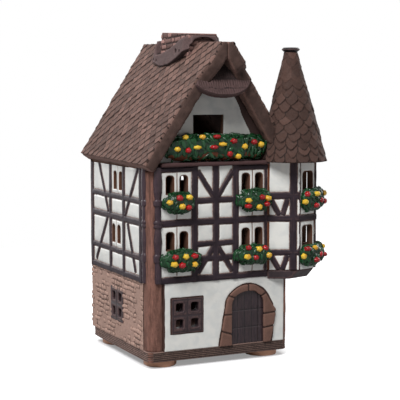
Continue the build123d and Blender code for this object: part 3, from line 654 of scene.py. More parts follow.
def timber_field(beams, seed, openings, scores):
    """Heights of a timbered wall: rounded timbers, a scored line beside them, and a pooled panel of glaze."""
    def field(u, v):
        spot = np.stack([u, v], -1)
        bent_u, bent_v = u + 0.3 * ripple(spot, 8, seed), v + 0.3 * ripple(spot, 8, seed + 3)
        best, streak = np.full(u.shape, -30.0), np.zeros(u.shape)
        for k, (start, end, width) in enumerate(beams):
            distance, along, across = beam_field(bent_u, bent_v, start, end, width)
            grain = noise(np.stack([along / 11, across / 0.62], -1), 1, seed + 11 * k)
            streak = np.where(distance > best, grain, streak)
            best = np.maximum(best, distance)
        timber = 0.95 * (0.3 + 0.7 * soft_step(0, 0.8, best)) + 0.10 * streak * soft_step(0.2, 0.9, best)
        glaze = 0.10 + 0.40 * soft_step(0.45, 1.3, -best) + 0.16 * soft_step(1.0, 4.5, -best)
        glaze = glaze + 0.08 * ripple(spot, 5, seed + 5)
        height = np.where(best > 0, timber, glaze - 0.05)
        line = np.full(u.shape, 5.0)
        for start, end in scores:
            distance, _, _ = beam_field(bent_u, bent_v, start, end, 0.02)
            line = np.minimum(line, np.abs(distance))
        height = height - 0.42 * np.exp(-(line / 0.38) ** 2) * (best < -0.4)
        line = np.where(best > -0.6, 5, line)
        rim = openings(u, v)
        height = height - 0.35 * (1 - soft_step(0, 0.9, rim)) * (best < 0)
        return height, {"seam": np.clip(best, -4, 4), "line": np.clip(np.minimum(line, rim), 0, 5),
                        "tone": streak}
    return field


def holes_of(side, margin=0.25):
    """Distance to the openings of a flat side, negative in them; its outer border is left out."""
    u0, v0, u1, v1 = side.segments.T
    low, high = side.low + 0.05, side.high - 0.05
    border = ((u0 < low[0]) & (u1 < low[0])) | ((u0 > high[0]) & (u1 > high[0]))
    border |= ((v0 < low[1]) & (v1 < low[1])) | ((v0 > high[1]) & (v1 > high[1]))
    inner = FlatSide.__new__(FlatSide)
    inner.segments = side.segments[~border]

    def openings(u, v):
        return -inner.inside(u, v) - margin
    return openings


def timber_wall(name, direction, beams, scores, u_span, seed, skin, step):
    """The skin of an upper wall, which stands for its timber frame as well."""
    side = FlatSide(name + "_wall_upper", direction)
    openings = holes_of(side)
    field = timber_field(beams, seed, openings, scores)
    relief(f"timber_wall_{name}", side, u_span, (FOOT, HEAD), step, field,
           skin, cut=openings, replaced=(name + "_timber_frame",))


def post_outline(v):
    """Half the width of a carved post at each height."""
    heights = np.array([61, 65, 76, 77.4, 81.6, 83, 92, 101, 101.7, 103.4, 103.8, 104.3, 106, 106.9, 112,
                        116.4, 117.4, 120.6, 121.6, 127, 134, 141, 144.4]) + FOOT - 61
    widths = [2.1, 2.5, 2.3, 3.25, 3.25, 2.3, 3.1, 2.2, 3.2, 3.2, 2.6, 3.2, 3.2, 2.2, 2.5, 2.2,
              3.25, 3.25, 2.3, 3.1, 3.3, 2.7, 2.3]
    return np.interp(v, heights, widths)


def carved_field(middle, seed, scale):
    """A turned post, rounded across."""
    def field(u, v):
        spot = np.stack([u, v], -1)
        half = post_outline(v + 0.5 * noise(spot, 6, seed)) * scale
        t = (u - middle + 0.15 * noise(spot, 12, seed + 1)) / half
        body = 0.62 * half * np.sqrt(np.clip(1 - t * t, 0, 1))
        return 0.25 + body + 0.06 * ripple(spot, 2.5, seed), {"seam": (1 - np.abs(t)) * half, "tone": t * 0}
    return field


# ---------------------------------------------------------------- stones, bricks and scales

def laid_blocks(u, v, row, length, seed, gap, jitter=0.22, bend=0.25):
    """Hand-laid blocks in staggered rows: distance inside their outline, a value and a middle for each."""
    u = u + bend * noise(np.stack([u, v], -1), 5, seed)
    v = v + bend * noise(np.stack([u, v], -1), 7, seed + 1)
    course = np.floor(v / row)
    offset = 0.5 * (course % 2) + 0.3 * cell_value(course[..., None], seed + 2)
    place_u = u / length + offset
    block = np.floor(place_u)

    def border(number):
        return number + jitter * (2 * cell_value(np.stack([number, course], -1), seed + 3) - 1)
    block = np.where(place_u < border(block), block - 1, block)
    block = np.where(place_u > border(block + 1), block + 1, block)
    left, right = border(block) * length, border(block + 1) * length
    value = cell_value(np.stack([block, course], -1), seed + 4)
    distance = rectangle_field(place_u * length, v, left + gap / 2, right - gap / 2,
                               course * row + gap / 2, (course + 1) * row - gap / 2, 0.9)
    centre_u = (left + right) / 2 - offset * length
    return -distance, value, centre_u, (course + 0.5) * row


def scale_rows(u, s, pitch, width_of, rows, seed, thick, around=None, rise=1.0, power=1.15, drift=0.06):
    """Pointed clay scales in overlapping rows from the eave up; each row covers the heads below it."""
    height, seam, tone = np.full(s.shape, 0.15), np.full(s.shape, 2.0), np.full(s.shape, 0.5)
    for k in range(rows):
        width = width_of(k)
        spot = u / width + 0.5 * (k % 2) + drift * float(cell_value(np.array([k, seed]), seed))
        number = np.floor(spot)
        t = (spot - number - 0.5) * 2
        if around:
            number = number % around(k)
        key = np.stack([number, np.full(s.shape, k)], -1)
        one, two = cell_value(key, seed + 1), cell_value(key, seed + 2)
        t = np.clip(t + 0.2 * (two - 0.5) * (1 - t * t), -1, 1)
        tip = (k + 0.2 * (one - 0.5) - 0.35) * pitch
        over = s - tip - rise * pitch * np.abs(t) ** power
        lie = thick * (1.0 + 0.5 * (two - 0.5) - 0.42 * over / pitch)
        side = (1 - np.abs(t)) * width / 2
        lie = lie + 0.14 * (1 - t * t)
        lie = lie - 0.2 * np.exp(-np.maximum(over, 0) / 0.35)
        cover = over >= 0
        height = np.where(cover, np.maximum(lie, 0.12), height)
        slope = np.hypot(1, 2 * rise * pitch / width)
        # the dark line just below each scale's edge is a joint, and partly painted shade under the
        # overlapping edge
        below = np.where(cover, 9.0, -over / slope)
        seam = np.where(cover, np.minimum(over / slope, side), np.minimum(seam, below + 0.25))
        tone = np.where(cover, one, tone)
    return height, np.clip(seam, 0, 3), tone


def roof_side_field(seed, pitch, width, start, lean, chip):
    """Rows of pointed scales that fall towards the front, with one small chip; the lowest rows run level."""
    run, spare_rows = 70, 5

    def field(u, v):
        spot = np.stack([u, v], -1)
        ss = v - start + 0.6 * ripple(spot, 14, seed + 9) + lean * u * soft_step(0, run, v - start)
        uu = u - lean * v + 0.6 * ripple(spot, 12, seed + 8)
        rows = int((v.max() - start) / pitch) + int(abs(lean) * (run + 5) / pitch) + spare_rows
        height, seam, tone = scale_rows(uu, ss + abs(lean) * run, pitch, lambda k: width, rows, seed, 0.98)
        height = height + 0.12 * ripple(spot, 1.9, seed + 4)
        broken = ((u - chip[0]) / 2.0) ** 2 + ((v - chip[1]) / 1.1) ** 2
        height = height - 0.8 * np.exp(-broken)
        seam = np.where(broken < 1, 0, seam)
        worn = 0.5 + 0.5 * ripple(spot, 14, seed + 6)
        return height, {"seam": seam, "tone": 0.75 * tone + 0.25 * worn}
    return field


def stone_patch_field(bare, seed, row):
    """A clay wall with pressed stones; it is plain in the bare patches, and here and there between."""
    def field(u, v):
        distance, value, cu, cv = laid_blocks(u, v, row, 5.4, seed, 0.55, 0.34, 0.75)
        present = value > 0.16 + 0.5 * soft_step(-0.1, 0.7, noise(np.stack([cu, cv], -1), 13, seed + 8))
        for pu, pv, reach_u, reach_v in bare:
            present &= (((cu - pu) / reach_u) ** 2 + ((cv - pv) / reach_v) ** 2) > 0.8 + 0.5 * value
        spot = np.stack([u, v], -1)
        raised = 0.52 * soft_step(-0.1, 0.8, distance) - 0.3 * np.exp(-((distance + 0.15) / 0.35) ** 2)
        faded = 0.55 * soft_step(-0.2, 0.5, noise(spot, 3.4, seed + 7))
        height = 0.35 + 0.20 * ripple(spot, 7, seed + 5) + 0.07 * ripple(spot, 1.6, seed + 6)
        height = height + np.where(present, raised, 0)
        return height, {"seam": np.where(present, distance + faded, 4), "tone": np.where(present, value, 0.5)}
    return field


def plaster_field(seed, depth=0.3):
    """Plaster that rises and falls a little under its glaze."""
    def field(u, v):
        spot = np.stack([u, v], -1)
        height = 0.2 + depth * (0.5 + 0.5 * ripple(spot, 9, seed)) + 0.04 * ripple(spot, 2, seed + 1)
        return height, {"seam": u * 0 + 4}
    return field


def door_field(middle, half, foot, lines, seed):
    """Upright boards with rounded edges, a grain, and incised lines across."""
    def field(u, v):
        spot = np.stack([u, v], -1)
        across = (u - middle + half + 0.2 * noise(spot, 14, seed)) / (2 * half) * 5
        board = np.floor(across)
        t = (across - board) * 2 - 1
        side = (1 - np.abs(t)) * half / 5
        grain = noise(np.stack([u / 0.6, v / 14], -1), 1, seed + 2)
        height = 0.62 - 0.42 * np.exp(-(side / 0.45) ** 2) + 0.08 * grain
        line = np.full(u.shape, 5.0)
        for z in lines:
            line = np.minimum(line, np.abs(v - foot - z - 0.5 * noise(spot, 11, seed + 4)))
        height = height - 0.35 * np.exp(-(line / 0.4) ** 2)
        tone = cell_value(np.stack([board, board * 0], -1), seed + 5)
        return height, {"seam": np.minimum(side, line), "tone": tone}
    return field


# ---------------------------------------------------------------- leaves and blossoms

def blossom(centre, out, across, tall, seed):
    """A domed blossom of glaze with a few soft petals and a small dimple."""
    out = np.array(out) / np.linalg.norm(out)
    side = np.cross((0, 0, 1), out)
    side = side / np.linalg.norm(side)
    up = np.cross(out, side)
    rings, spokes = 7, 18
    angle = np.linspace(0, 2 * math.pi, spokes, endpoint=False)
    lobes = 5 + int(3 * cell_value(np.array([seed, 1]), 5))
    turn = 6.28 * float(cell_value(np.array([seed, 2]), 5))
    round_off, lip, dimple = 2.6, 0.35, 0.16
    points = [np.array(centre) + out * (0.50 * across - 0.18)]
    for r in range(1, rings + 1):
        t = r / rings
        rise = 0.5 * across * math.sqrt(max(0.0, 1 - t ** round_off)) - lip * (t == 1)
        rise -= dimple * math.exp(-(t / 0.3) ** 2)
        spread = 1 + 0.13 * np.cos(lobes * angle + turn) * t
        ring = (side[None] * (np.cos(angle) * spread * across / 2 * t)[:, None]
                + up[None] * (np.sin(angle) * spread * tall / 2 * t)[:, None] + out[None] * rise)
        points.extend(np.array(centre) + ring)
    faces = [[0, 1 + k, 1 + (k + 1) % spokes, 1 + (k + 1) % spokes] for k in range(spokes)]
    for r in range(rings - 1):
        a = 1 + r * spokes
        faces += [[a + k, a + spokes + k, a + spokes + (k + 1) % spokes, a + (k + 1) % spokes]
                  for k in range(spokes)]
    return points, faces


def leaf_blade(root, out, along, length, width, fold):
    """A small pointed leaf pressed on the bank, creased down its middle."""
    out, along = np.array(out), np.array(along)
    along = along - out * (along @ out)
    along = along / np.linalg.norm(along)
    side = np.cross(out, along)
    points = []
    for i in range(6):
        t = i / 5
        half = width / 2 * math.sin(math.pi * min(1, 0.12 + 0.88 * t)) ** 0.8 if t < 1 else 0
        lift = 0.25 + 0.55 * math.sin(math.pi * (0.15 + 0.75 * t))
        for k in (-1, 0, 1):
            height = lift - 0.16 if k == 0 else lift - 0.1 * fold - 0.30 * (abs(k) == 1 and t in (0, 1))
            points.append(np.array(root) + along * (t - 0.5) * length + side * k * half + out * height)
        points += [np.array(root) + along * (t - 0.5) * length + side * k * half * 0.9 - out * 0.3
                   for k in (-1, 1)]
    faces = []
    for i in range(5):
        a, b = 5 * i, 5 * (i + 1)
        faces += [[a + 3, a, b, b + 3], [a, a + 1, b + 1, b], [a + 1, a + 2, b + 2, b + 1],
                  [a + 2, a + 4, b + 4, b + 2]]
    return points, faces


def join_parts(name, parts, material):
    """Many small meshes as one piece; each part is its points and its faces."""
    points, faces = [], []
    for part_points, part_faces in parts:
        base = len(points)
        points.extend(part_points)
        faces.extend([base + i for i in dict.fromkeys(face)] for face in part_faces)
    return make_piece(name, points, faces, {"edge": np.zeros(len(points))}, material)


def leaf_shape(seed, ragged):
    """Lumps and brushed strokes of a glazed leaf bank; clay shows along a ragged lower edge."""
    def shape(points, normals):
        lumps = 0.5 * ripple(points, 5.5, seed)
        wander = points + 1.5 * np.stack([noise(points, 6, seed + k) for k in (1, 2, 3)], -1)
        strokes = np.abs(noise(wander * np.array([1, 1, 0.45]), 2.0, seed + 4))
        low = points[:, 2].min()
        edge = ragged * soft_step(low + 6.5, low + 3.5, points[:, 2] + 3.4 * noise(points, 2.8, seed + 5))
        return lumps + 0.45 * (soft_step(0.0, 0.4, strokes) - 0.6) - 0.7 * edge, {"bare": edge}
    return shape


def cushioned(split=None, taper=(0.22, 0.1), power=3.0, widths=(1.0, 1.0), shifts=(0.0, 0.0)):
    """Rounds each block of a bank on the front wall to a cushion that tapers towards its ends."""
    def move(points):
        points = points.copy()
        groups = [points[:, 0] < split, points[:, 0] >= split] if split is not None else [points[:, 0] > -999]
        for group, width, shift in zip(groups, widths, shifts):
            part = points[group]
            low, high = part.min(0), part.max(0)
            middle, half = (low + high) / 2, (high - low) / 2
            u, w = (part[:, 0] - middle[0]) / half[0], (part[:, 2] - middle[2]) / half[2]
            square = np.maximum(np.abs(u), np.abs(w))
            rounded = np.maximum((np.abs(u) ** power + np.abs(w) ** power) ** (1 / power), 1e-6)
            u, w = u * square / rounded, w * square / rounded
            w = w * (1 - np.where(u < 0, taper[0], taper[1]) * u * u)
            depth = (high[1] - part[:, 1]) * (1 - 0.4 * square ** 4)
            points[group] = np.stack([middle[0] + shift + u * half[0] * width, high[1] - depth,
                                      middle[2] + w * half[2]], -1)
        return points
    return move


def leaves_on(copy, count, seed, facing, size):
    """Leaf blades scattered over a bank: more on its front, most of them pointing down and outwards."""
    points, normals = read(copy.data.vertices, "co") / MM, read(copy.data.vertices, "normal")
    least_apart = 1.9
    facing = np.array(facing) / np.linalg.norm(facing)
    score = cell_value(np.round(points * 37), seed) - 0.9 * (normals @ facing < -0.1)
    order = np.argsort(-score)
    chosen, parts = [], []
    for i in order:
        if len(chosen) >= count:
            break
        if normals[i] @ facing < -0.2:
            continue
        if chosen and np.linalg.norm(points[chosen] - points[i], axis=1).min() < least_apart:
            continue
        chosen.append(i)
        a, b, c = (float(cell_value(np.array([i, k]), seed)) for k in (1, 2, 3))
        lean = np.array((0, 0, -1)) + 1.1 * (a - 0.5) * 2 * np.cross(facing, (0, 0, 1)) + 0.5 * normals[i]
        length, width = (3.8 + 2.2 * b) * size, (1.8 + 0.8 * c) * size
        parts.append(leaf_blade(points[i] - normals[i] * 0.2, normals[i], lean, length, width, a))
    return parts


def surface_hit(bank, start, direction):
    """Where a ray first meets a bank, with the outward direction; a ray that misses is moved inwards."""
    centre = sum((Vector(corner) for corner in bank.bound_box), Vector()) / 8
    towards = centre - Vector(start) * MM
    towards -= Vector(direction) * towards.dot(Vector(direction))
    for nudge in (0, 0.03, 0.06, 0.1, 0.15, 0.2, 0.3, 0.4, 0.6):
        hit, where, normal, _ = bank.ray_cast(Vector(start) * MM + towards * nudge, Vector(direction))
        if hit:
            return np.array(where) / MM, np.array(normal)
    raise RuntimeError("a blossom found no leaf bank behind it")


# ---------------------------------------------------------------- sizes and colours a user would change

def colour(name, description, red, green, blue):
    return FloatVectorProperty(name=name, description=description, subtype="COLOR", size=3, min=0, max=1,
                               default=tint(red, green, blue))


def length(name, description, value, low, high):
    return FloatProperty(name=name, description=description + ", in millimetres", default=value, min=low,
                         max=high)


class CandleHouseSizes(PropertyGroup):
    fine_step: length("Fine step", "Mesh step of the front and of the turret", 0.5, 0.3, 2)
    wall_step: length("Wall step", "Mesh step of the other walls", 0.65, 0.4, 3)
    roof_step: length("Roof step", "Mesh step of the scaled roofs", 0.58, 0.4, 3)
    scale_pitch: length("Scale pitch", "Height of one row of roof scales", 4.9, 3, 12)
    scale_width: length("Scale width", "Width of one roof scale", 9.3, 3, 14)
    cone_scale: length("Cone scale", "Width of one scale of the turret roof", 8.6, 3, 14)
    cone_pitch: length("Cone pitch", "Height of one row of scales of the turret roof", 5.6, 3, 14)
    stone_row: length("Stone row", "Height of one row of pressed stones", 3.7, 2, 10)
    brick_row: length("Brick row", "Height of one row of chimney bricks", 4.1, 2, 10)
    leaf_count: IntProperty(name="Leaves", description="Leaves on each long bank of flowers", default=70,
                            min=0, max=400)


class CandleHouseColours(PropertyGroup):
    white: colour("White glaze", "Panels, gables and ground floor front", 222, 221, 216)
    white_deep: colour("White glaze, pooled", "Where the white glaze pools", 206, 208, 206)
    timber: colour("Timber glaze", "Posts, rails and braces", 53, 44, 50)
    timber_worn: colour("Timber glaze, thin", "Where the timber glaze runs thin", 86, 67, 66)
    bare_clay: colour("Bare clay", "Lines beside the timbers and the window reveals", 104, 60, 42)
    post_clay: colour("Corner clay", "Corner posts and door surround", 122, 86, 75)
    stone_clay: colour("Stone clay", "Ground floor sides and back", 162, 133, 121)
    roof_clay: colour("Roof clay", "Scales of the main roof", 98, 75, 68)
    cone_clay: colour("Cone clay", "Scales of the turret roof", 70, 51, 45)
    brick_clay: colour("Brick clay", "Chimney", 136, 104, 98)
    foot_clay: colour("Terracotta", "Feet", 56, 25, 17)
    plate_clay: colour("Plate clay", "Base plate", 138, 112, 103)
    ledge_clay: colour("Ledge clay", "Ledge below the garland", 62, 43, 43)
    leaf: colour("Leaf glaze", "Leaves", 24, 70, 38)
    yellow: colour("Yellow glaze", "Yellow blossoms", 224, 188, 60)
    red: colour("Red glaze", "Red blossoms", 168, 24, 30)


def sizes():
    return bpy.context.scene.candle_house_sizes


def colours():
    return bpy.context.scene.candle_house_colours


def shade(colour_value, factor):
    return tuple(min(1.0, c * factor) for c in colour_value)


# ---------------------------------------------------------------- materials of this house

def timbered_material(name):
    """Glazed panels and timbers with a bare line between, told apart by the distance kept in the mesh."""
    c = colours()
    f = Finish(name, 0.08, 0.1)
    kit, edge, seam = f.kit, f.kit.value_of("edge"), f.kit.value_of("seam")
    white = f.group(glaze_group(), Color=c.white, Deep=c.white_deep, Body=shade(c.bare_clay, 0.9), Edge=0.0,
                    Pooling=0.6, Thin_Edges=0.0, Pinholes=0.8)
    wood = f.group(glaze_group(), Color=c.timber, Deep=shade(c.timber, 0.6), Body=c.timber_worn, Edge=edge,
                   Pooling=0.7, Thin_Edges=0.75, Pinholes=0.0)
    grain = kit.between(kit.value_of("tone"), 0.1, 0.9)
    timber = kit.mix(kit.times(grain, 0.45), wood["Color"], c.timber_worn)
    clay = f.group(clay_body_group(), Color=c.bare_clay, Pale=shade(c.bare_clay, 1.5),
                   Dark=shade(c.bare_clay, 0.35))
    beside = f.group(line_group(), Distance=seam, Middle=-0.22, Width=0.36)
    over = f.group(line_group(), Distance=seam, Middle=0.02, Width=0.1)
    scored = kit.between(kit.value_of("line"), 0.22, 0.46, 1, 0)
    bare = kit.larger(kit.times(beside["Band"], 0.9), scored)
    shown = kit.mix(bare, white["Color"], clay["Color"])
    shown = kit.mix(over["Above"], shown, timber)
    rough = kit.plus(white["Roughness"], kit.plus(0.14, kit.times(bare, 0.35)))
    rough = kit.plus(rough, kit.times(over["Above"], 0.18))
    coat = kit.minus(0.6, kit.larger(bare, over["Above"]), clamp=True)
    return f.finish(shown, rough, white["Height"], 0.12, coat)


def clay_material(name, base, pale=1.45, dark=0.32, **more):
    return clay_finish(name, base, shade(base, pale), shade(base, dark), **more)


def toned_material(name, base, pale, dark, line, **more):
    return toned_clay_finish(name, base, shade(base, pale), shade(base, dark), shade(base, line), **more)


def dark_glaze_material(name, base, **more):
    return glaze_finish(name, base, shade(base, 0.5), colours().timber_worn, 0.34, 0.15, Pooling=0.6,
                        Thin_Edges=0.8, Pinholes=0.0, Gloss=0.12, **more)


def boards_material(name):
    """Brushed boards, each in its own tone, with dark joints."""
    c = colours()
    f = Finish(name, 0.3, 0.15)
    kit = f.kit
    base = tint(46, 35, 41)
    glaze = f.group(glaze_group(), Color=base, Deep=shade(base, 0.55), Body=tint(80, 60, 56),
                    Edge=kit.value_of("edge"), Pooling=0.6, Thin_Edges=0.8, Pinholes=0.0, Gloss=0.1)
    brushed = f.group(streak_group())
    shown = kit.mix(kit.times(brushed["Streaks"], 0.4), glaze["Color"], c.timber_worn)
    shown = kit.mix(kit.between(kit.value_of("tone"), 0, 1, 0, 0.35), shown, shade(base, 0.5))
    line = f.group(line_group(), Distance=kit.value_of("seam"), Middle=0.0, Width=0.5)
    shown = kit.mix(kit.times(line["Band"], 0.8), shown, shade(base, 0.2))
    return f.finish(shown, kit.plus(glaze["Roughness"], 0.28), glaze["Height"], 0.12, glaze["Coat"])


def flower_material(name, base, deep, body, gloss=0.35, under=None):
    """A thick glaze on leaves or blossoms; bare clay shows where a bank is thin."""
    f = Finish(name, 0.15, 0.12)
    glaze = f.group(glaze_group(), Color=base, Deep=deep, Body=body, Edge=f.kit.value_of("edge"), Pooling=0.7,
                    Thin_Edges=0.55, Pinholes=0.0, Gloss=gloss)
    under = under or colours().bare_clay
    clay = f.group(clay_body_group(), Color=under, Pale=shade(under, 1.5), Dark=shade(under, 0.3))
    bare = f.kit.between(f.kit.value_of("bare"), 0.35, 0.65)
    shown = f.kit.mix(bare, glaze["Color"], clay["Color"])
    rough = f.kit.plus(glaze["Roughness"], f.kit.plus(0.12, f.kit.times(bare, 0.4)))
    coat = f.kit.minus(glaze["Coat"], bare, clamp=True)
    return f.finish(shown, rough, glaze["Height"], 0.2, coat)


MATERIALS = {
    "timbered wall": timbered_material,
    "inner clay": lambda n: clay_material(n, tint(88, 60, 46), Mottling=0.5),
    "stone clay": lambda n: toned_material(n, colours().stone_clay, 1.35, 0.4, 0.3, Mottling=0.6, Specks=0.6,
        tones=0.5, width=0.42, Rubbed_Edges=0.8),
    "roof clay": lambda n: toned_material(n, colours().roof_clay, 2.1, 0.34, 0.12, Mottling=0.45, Specks=0.3,
        tones=0.6, width=0.8, Rubbed_Edges=1.0),
    "roof clay plain": lambda n: clay_material(n, colours().roof_clay, 2.0, 0.24, Mottling=0.5,
        Rubbed_Edges=1.0, End_Wash=0.82),
    "cone clay": lambda n: toned_material(n, colours().cone_clay, 2.0, 0.3, 0.2, Mottling=0.45, Specks=0.3,
        tones=0.4, width=0.7, Rubbed_Edges=1.0),
    "brick clay": lambda n: toned_material(n, colours().brick_clay, 1.9, 0.3, 0.12, Mottling=0.5, tones=0.85,
        End_Wash=0.92),
    "corner clay": lambda n: clay_material(n, colours().post_clay, 1.6, 0.28, Mottling=0.8, Rubbed_Edges=0.6,
        streaked=0.7, End_Wash=0.6),
    "front glaze": lambda n: flower_material(n, colours().white, colours().white_deep,
        shade(colours().bare_clay, 0.9), 0.6, tint(66, 46, 42)),
    # painted shade: the gables' white is written darker than the front's, for the shade under the roof's
    # overhang
    "gable glaze": lambda n: flower_material(n, shade(colours().white, 0.72),
        shade(colours().white_deep, 0.68), colours().bare_clay, 0.3, tint(58, 43, 40)),
    # painted shade: the bank under the leaves is a darker copy of the leaf glaze, for the shade between the
    # leaves
    "leaf glaze, deep": lambda n: flower_material(n, shade(colours().leaf, 0.5), shade(colours().leaf, 0.15),
        tint(44, 84, 52), 0.3),
    "strap clay": lambda n: clay_material(n, tint(88, 71, 70), 1.5, 0.14, Mottling=0.5, Rubbed_Edges=0.7,
        End_Wash=0.9),
    "surround clay": lambda n: toned_material(n, tint(134, 100, 88), 1.5, 0.28, 0.12, Mottling=0.8,
        Rubbed_Edges=0.8),
    "plate clay": lambda n: toned_material(n, colours().plate_clay, 1.7, 0.26, 0.08, Mottling=0.5, tones=0.0,
        width=0.6, End_Wash=0.7),
    "terracotta": lambda n: clay_material(n, colours().foot_clay, 1.35, 0.35, Mottling=0.6, specular=0.08),
    "ledge clay": lambda n: clay_material(n, colours().ledge_clay, 1.6, 0.3, Mottling=0.6, Rubbed_Edges=0.8),
    "hood clay": lambda n: toned_material(n, tint(64, 48, 47), 2.3, 0.16, 0.3, Mottling=0.5,
        Rubbed_Edges=1.0, tones=0.0, width=0.3, Hollow_Shade=0.2, End_Wash=0.85),
    "carved glaze": lambda n: dark_glaze_material(n, tint(52, 38, 47), streaked=0.25),
    "shutter glaze": lambda n: dark_glaze_material(n, tint(48, 38, 42), streaked=0.2),
    "finial glaze": lambda n: dark_glaze_material(n, tint(30, 27, 29)),
    "door boards": boards_material,
    "leaf glaze": lambda n: flower_material(n, colours().leaf, shade(colours().leaf, 0.3), tint(86, 134, 88)),
    "yellow glaze": lambda n: flower_material(n, colours().yellow, tint(196, 128, 30), tint(236, 206, 120)),
    "red glaze": lambda n: flower_material(n, colours().red, tint(120, 20, 22), tint(204, 84, 60)),
}


def material(name):
    """The material of this name, made when it is first asked for."""
    return bpy.data.materials.get(name) or MATERIALS[name](name)


def repaint(node, name):
    """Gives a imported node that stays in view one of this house's materials."""
    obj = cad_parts[node]
    obj.data.materials.clear()
    obj.data.materials.append(material(name))


# ---------------------------------------------------------------- operators, one for each group of pieces

class CANDLEHOUSE_OT_timber_walls(Operator):
    """Timbered upper walls: timbers, scored lines, glazed panels and window lights"""
    bl_idname = "candle_house.timber_walls"
    bl_label = "Timbered walls"

    def execute(self, context):
        fine, plain = sizes().fine_step, sizes().wall_step
        skin = material("timbered wall")
        for node in ("front_wall_upper", "left_wall_upper", "right_wall_upper", "back_wall_upper",
                     "turret_wall"):
            repaint(node, "inner clay")
        self.front(skin, fine)
        self.sides(skin, plain)
        self.back(skin, plain)
        self.turret(skin, fine)
        return {"FINISHED"}

    def front(self, skin, step):
        lo, hi = box_mm("front_timber_frame")
        a, b, c = -20.6, -3.7, 12.3
        left, right = lo[0] + 4.0, hi[0]
        beams = [upright(a), upright(b), upright(c), upright(right - 1.2, 2.4),
                 level(left, right, RAILS["bottom"]), level(left, right, RAILS["middle"]),
                 level(a, c, RAILS["high"]), level(left, a, RAILS["top"]), level(c, right + 2, RAILS["top"]),
                 level(a, c, RAILS["bay low"]), level(a, c, RAILS["bay upper"]), *bay(a, b, c)]
        timber_wall("front", (0, -1, 0), beams, between_lights((-34.6, 26.0)), (lo[0] + 5.0, right), 11, skin,
                    step)
        post = Face((0, box_mm("front_wall_upper")[0][1], 0), (1, 0, 0), (0, 0, 1), (0, -1, 0))
        self.carved_post("front", post, lo[0] + 3.2, 5, 1.0)

    def carved_post(self, name, face, middle, seed, scale):
        """The dark turned post beside the clay corner."""
        reach = 3.35 * scale
        relief(f"carved_post_{name}", face, (middle - reach, middle + reach), (FOOT + 0.5, HEAD), 0.35,
               carved_field(middle, seed, scale), material("carved glaze"),
               cut=lambda u, v: post_outline(v) * scale + 0.02 - np.abs(u - middle), skirt=0.9)

    def sides(self, skin, step):
        """The right side mirrors the left one: s turns it over."""
        for side, direction, s in (("left", (-1, 0, 0), 1), ("right", (1, 0, 0), -1)):
            lo, hi = box_mm(side + "_timber_frame")
            span = (-hi[1], -box_mm("left_wall_upper")[0][1]) if s == 1 else (lo[1], hi[1])
            back_end = -s * hi[1]
            if s == 1:
                corner = Face((box_mm("corner_post_front_left")[0][0], 0, 0), (0, -1, 0), (0, 0, 1),
                              (-1, 0, 0))
                self.carved_post("left", corner, (span[1] - lo[1]) / 2, 6, 0.86)
            posts = [-15.8 * s, 10.6 * s, back_end + s * BEAM / 2]
            beams = [upright(u) for u in posts]
            if s == 1:
                beams.append(upright(span[1] - BEAM / 2))
            beams += [level(span[0] - 1, span[1] + 1, RAILS[k]) for k in ("bottom", "low", "middle", "high")]
            upper, lower = ((-40.5, -20), (39.4, 13.3)), ((-22.1, -46.6), (18.1, 32.8))
            beams += [slant(s * head, HEAD + 1, s * foot, RAILS["middle"][1]) for head, foot in upper]
            beams += [slant(s * head, RAILS["middle"][0], s * foot, FOOT + 6) for head, foot in lower]
            scores = [((s * -4.2, RAILS["low"][1]), (s * -4.2, RAILS["middle"][0])),
                      ((s * -0.4, RAILS["high"][1]), (s * -0.4, HEAD))]
            timber_wall(side, direction, beams, scores, span, 21 + s, skin, step)

    def back(self, skin, step):
        a, b, c, reach = -14.0, 0.0, 14.0, box_mm("back_timber_frame")[1][0]
        beams = [upright(u) for u in (BEAM / 2 - reach, reach - BEAM / 2, a, b, c)]
        beams += [level(-reach, reach, RAILS["bottom"]), level(-reach, reach, RAILS["middle"]),
                  level(a, c, RAILS["high"]),
                  level(-reach, reach, RAILS["top"]), level(a, c, RAILS["bay upper"]), *bay(a, b, c)]
        timber_wall("back", (0, 1, 0), beams, between_lights((-26.0, 26.0)), (-reach, reach), 31, skin, step)

    def turret(self, skin, step):
        corners = [(38.5, -56.25), (59.7, -66.7), (76.5, -61.5), (77.5, -44.0), (56.5, -34.0)]
        foot, head = box_mm("turret_wall")[0][2], box_mm("turret_wall")[1][2]
        high = (FOOT + 57.6, FOOT + 62.6)
        facets = []
        for (x0, y0), (x1, y1) in zip(corners, corners[1:]):
            facets.append(FlatSide("turret_wall", (y1 - y0, x0 - x1, 0)))
        bends = [math.atan2(side.out[0], -side.out[1]) for side in facets]
        for k, side in enumerate(facets):
            u0, span = side.low[0], side.high[0] - side.low[0]
            middle = u0 + span / 2
            start = 0.0 if k == 0 else 0.97 * math.tan((bends[k] - bends[k - 1]) / 2)
            end = 0.0 if k == 3 else 0.97 * math.tan((bends[k + 1] - bends[k]) / 2)
            low_u, high_u = u0 - start, u0 + span + end
            beams = [level(low_u - 1, high_u + 1, RAILS["middle"])]
            if k == 0:
                beams += [upright(high_u - 4.6, 5.2, foot, head), level(low_u - 1, high_u, RAILS["low"]),
                          level(low_u - 1, high_u, high)]
                for base, top in ((foot, RAILS["low"][0]), (RAILS["middle"][1], high[0])):
                    beams += [slant(middle - 9, top, middle - 2.7, base),
                              slant(middle + 3.3, top, middle - 0.5, base)]
            elif k == 1:
                beams += [upright(low_u + 0.75, 1.6, foot, head), upright(high_u - 0.75, 1.6, foot, head)]
            else:
                beams += [upright(low_u + 1.2, 2.4, foot, head), upright(high_u - 1.2, 2.4, foot, head)]
            if k == 3:
                beams += [level(low_u, high_u, RAILS["low"]), level(low_u, high_u, RAILS["high"])]
            openings = holes_of(side)
            replaced = ("turret_timber_frame",) if k == 0 else ()
            strokes = (0.0, 0.6, 1.2) if k == 0 else ()
            edge = [((low_u + 0.4 + d, foot), (low_u + 0.4 + d, head)) for d in strokes]
            relief(f"turret_facet_{k + 1}", side, (low_u, high_u), (foot, head), step,
                   timber_field(beams, 41 + k, openings, edge), skin, cut=openings,
                   replaced=replaced)


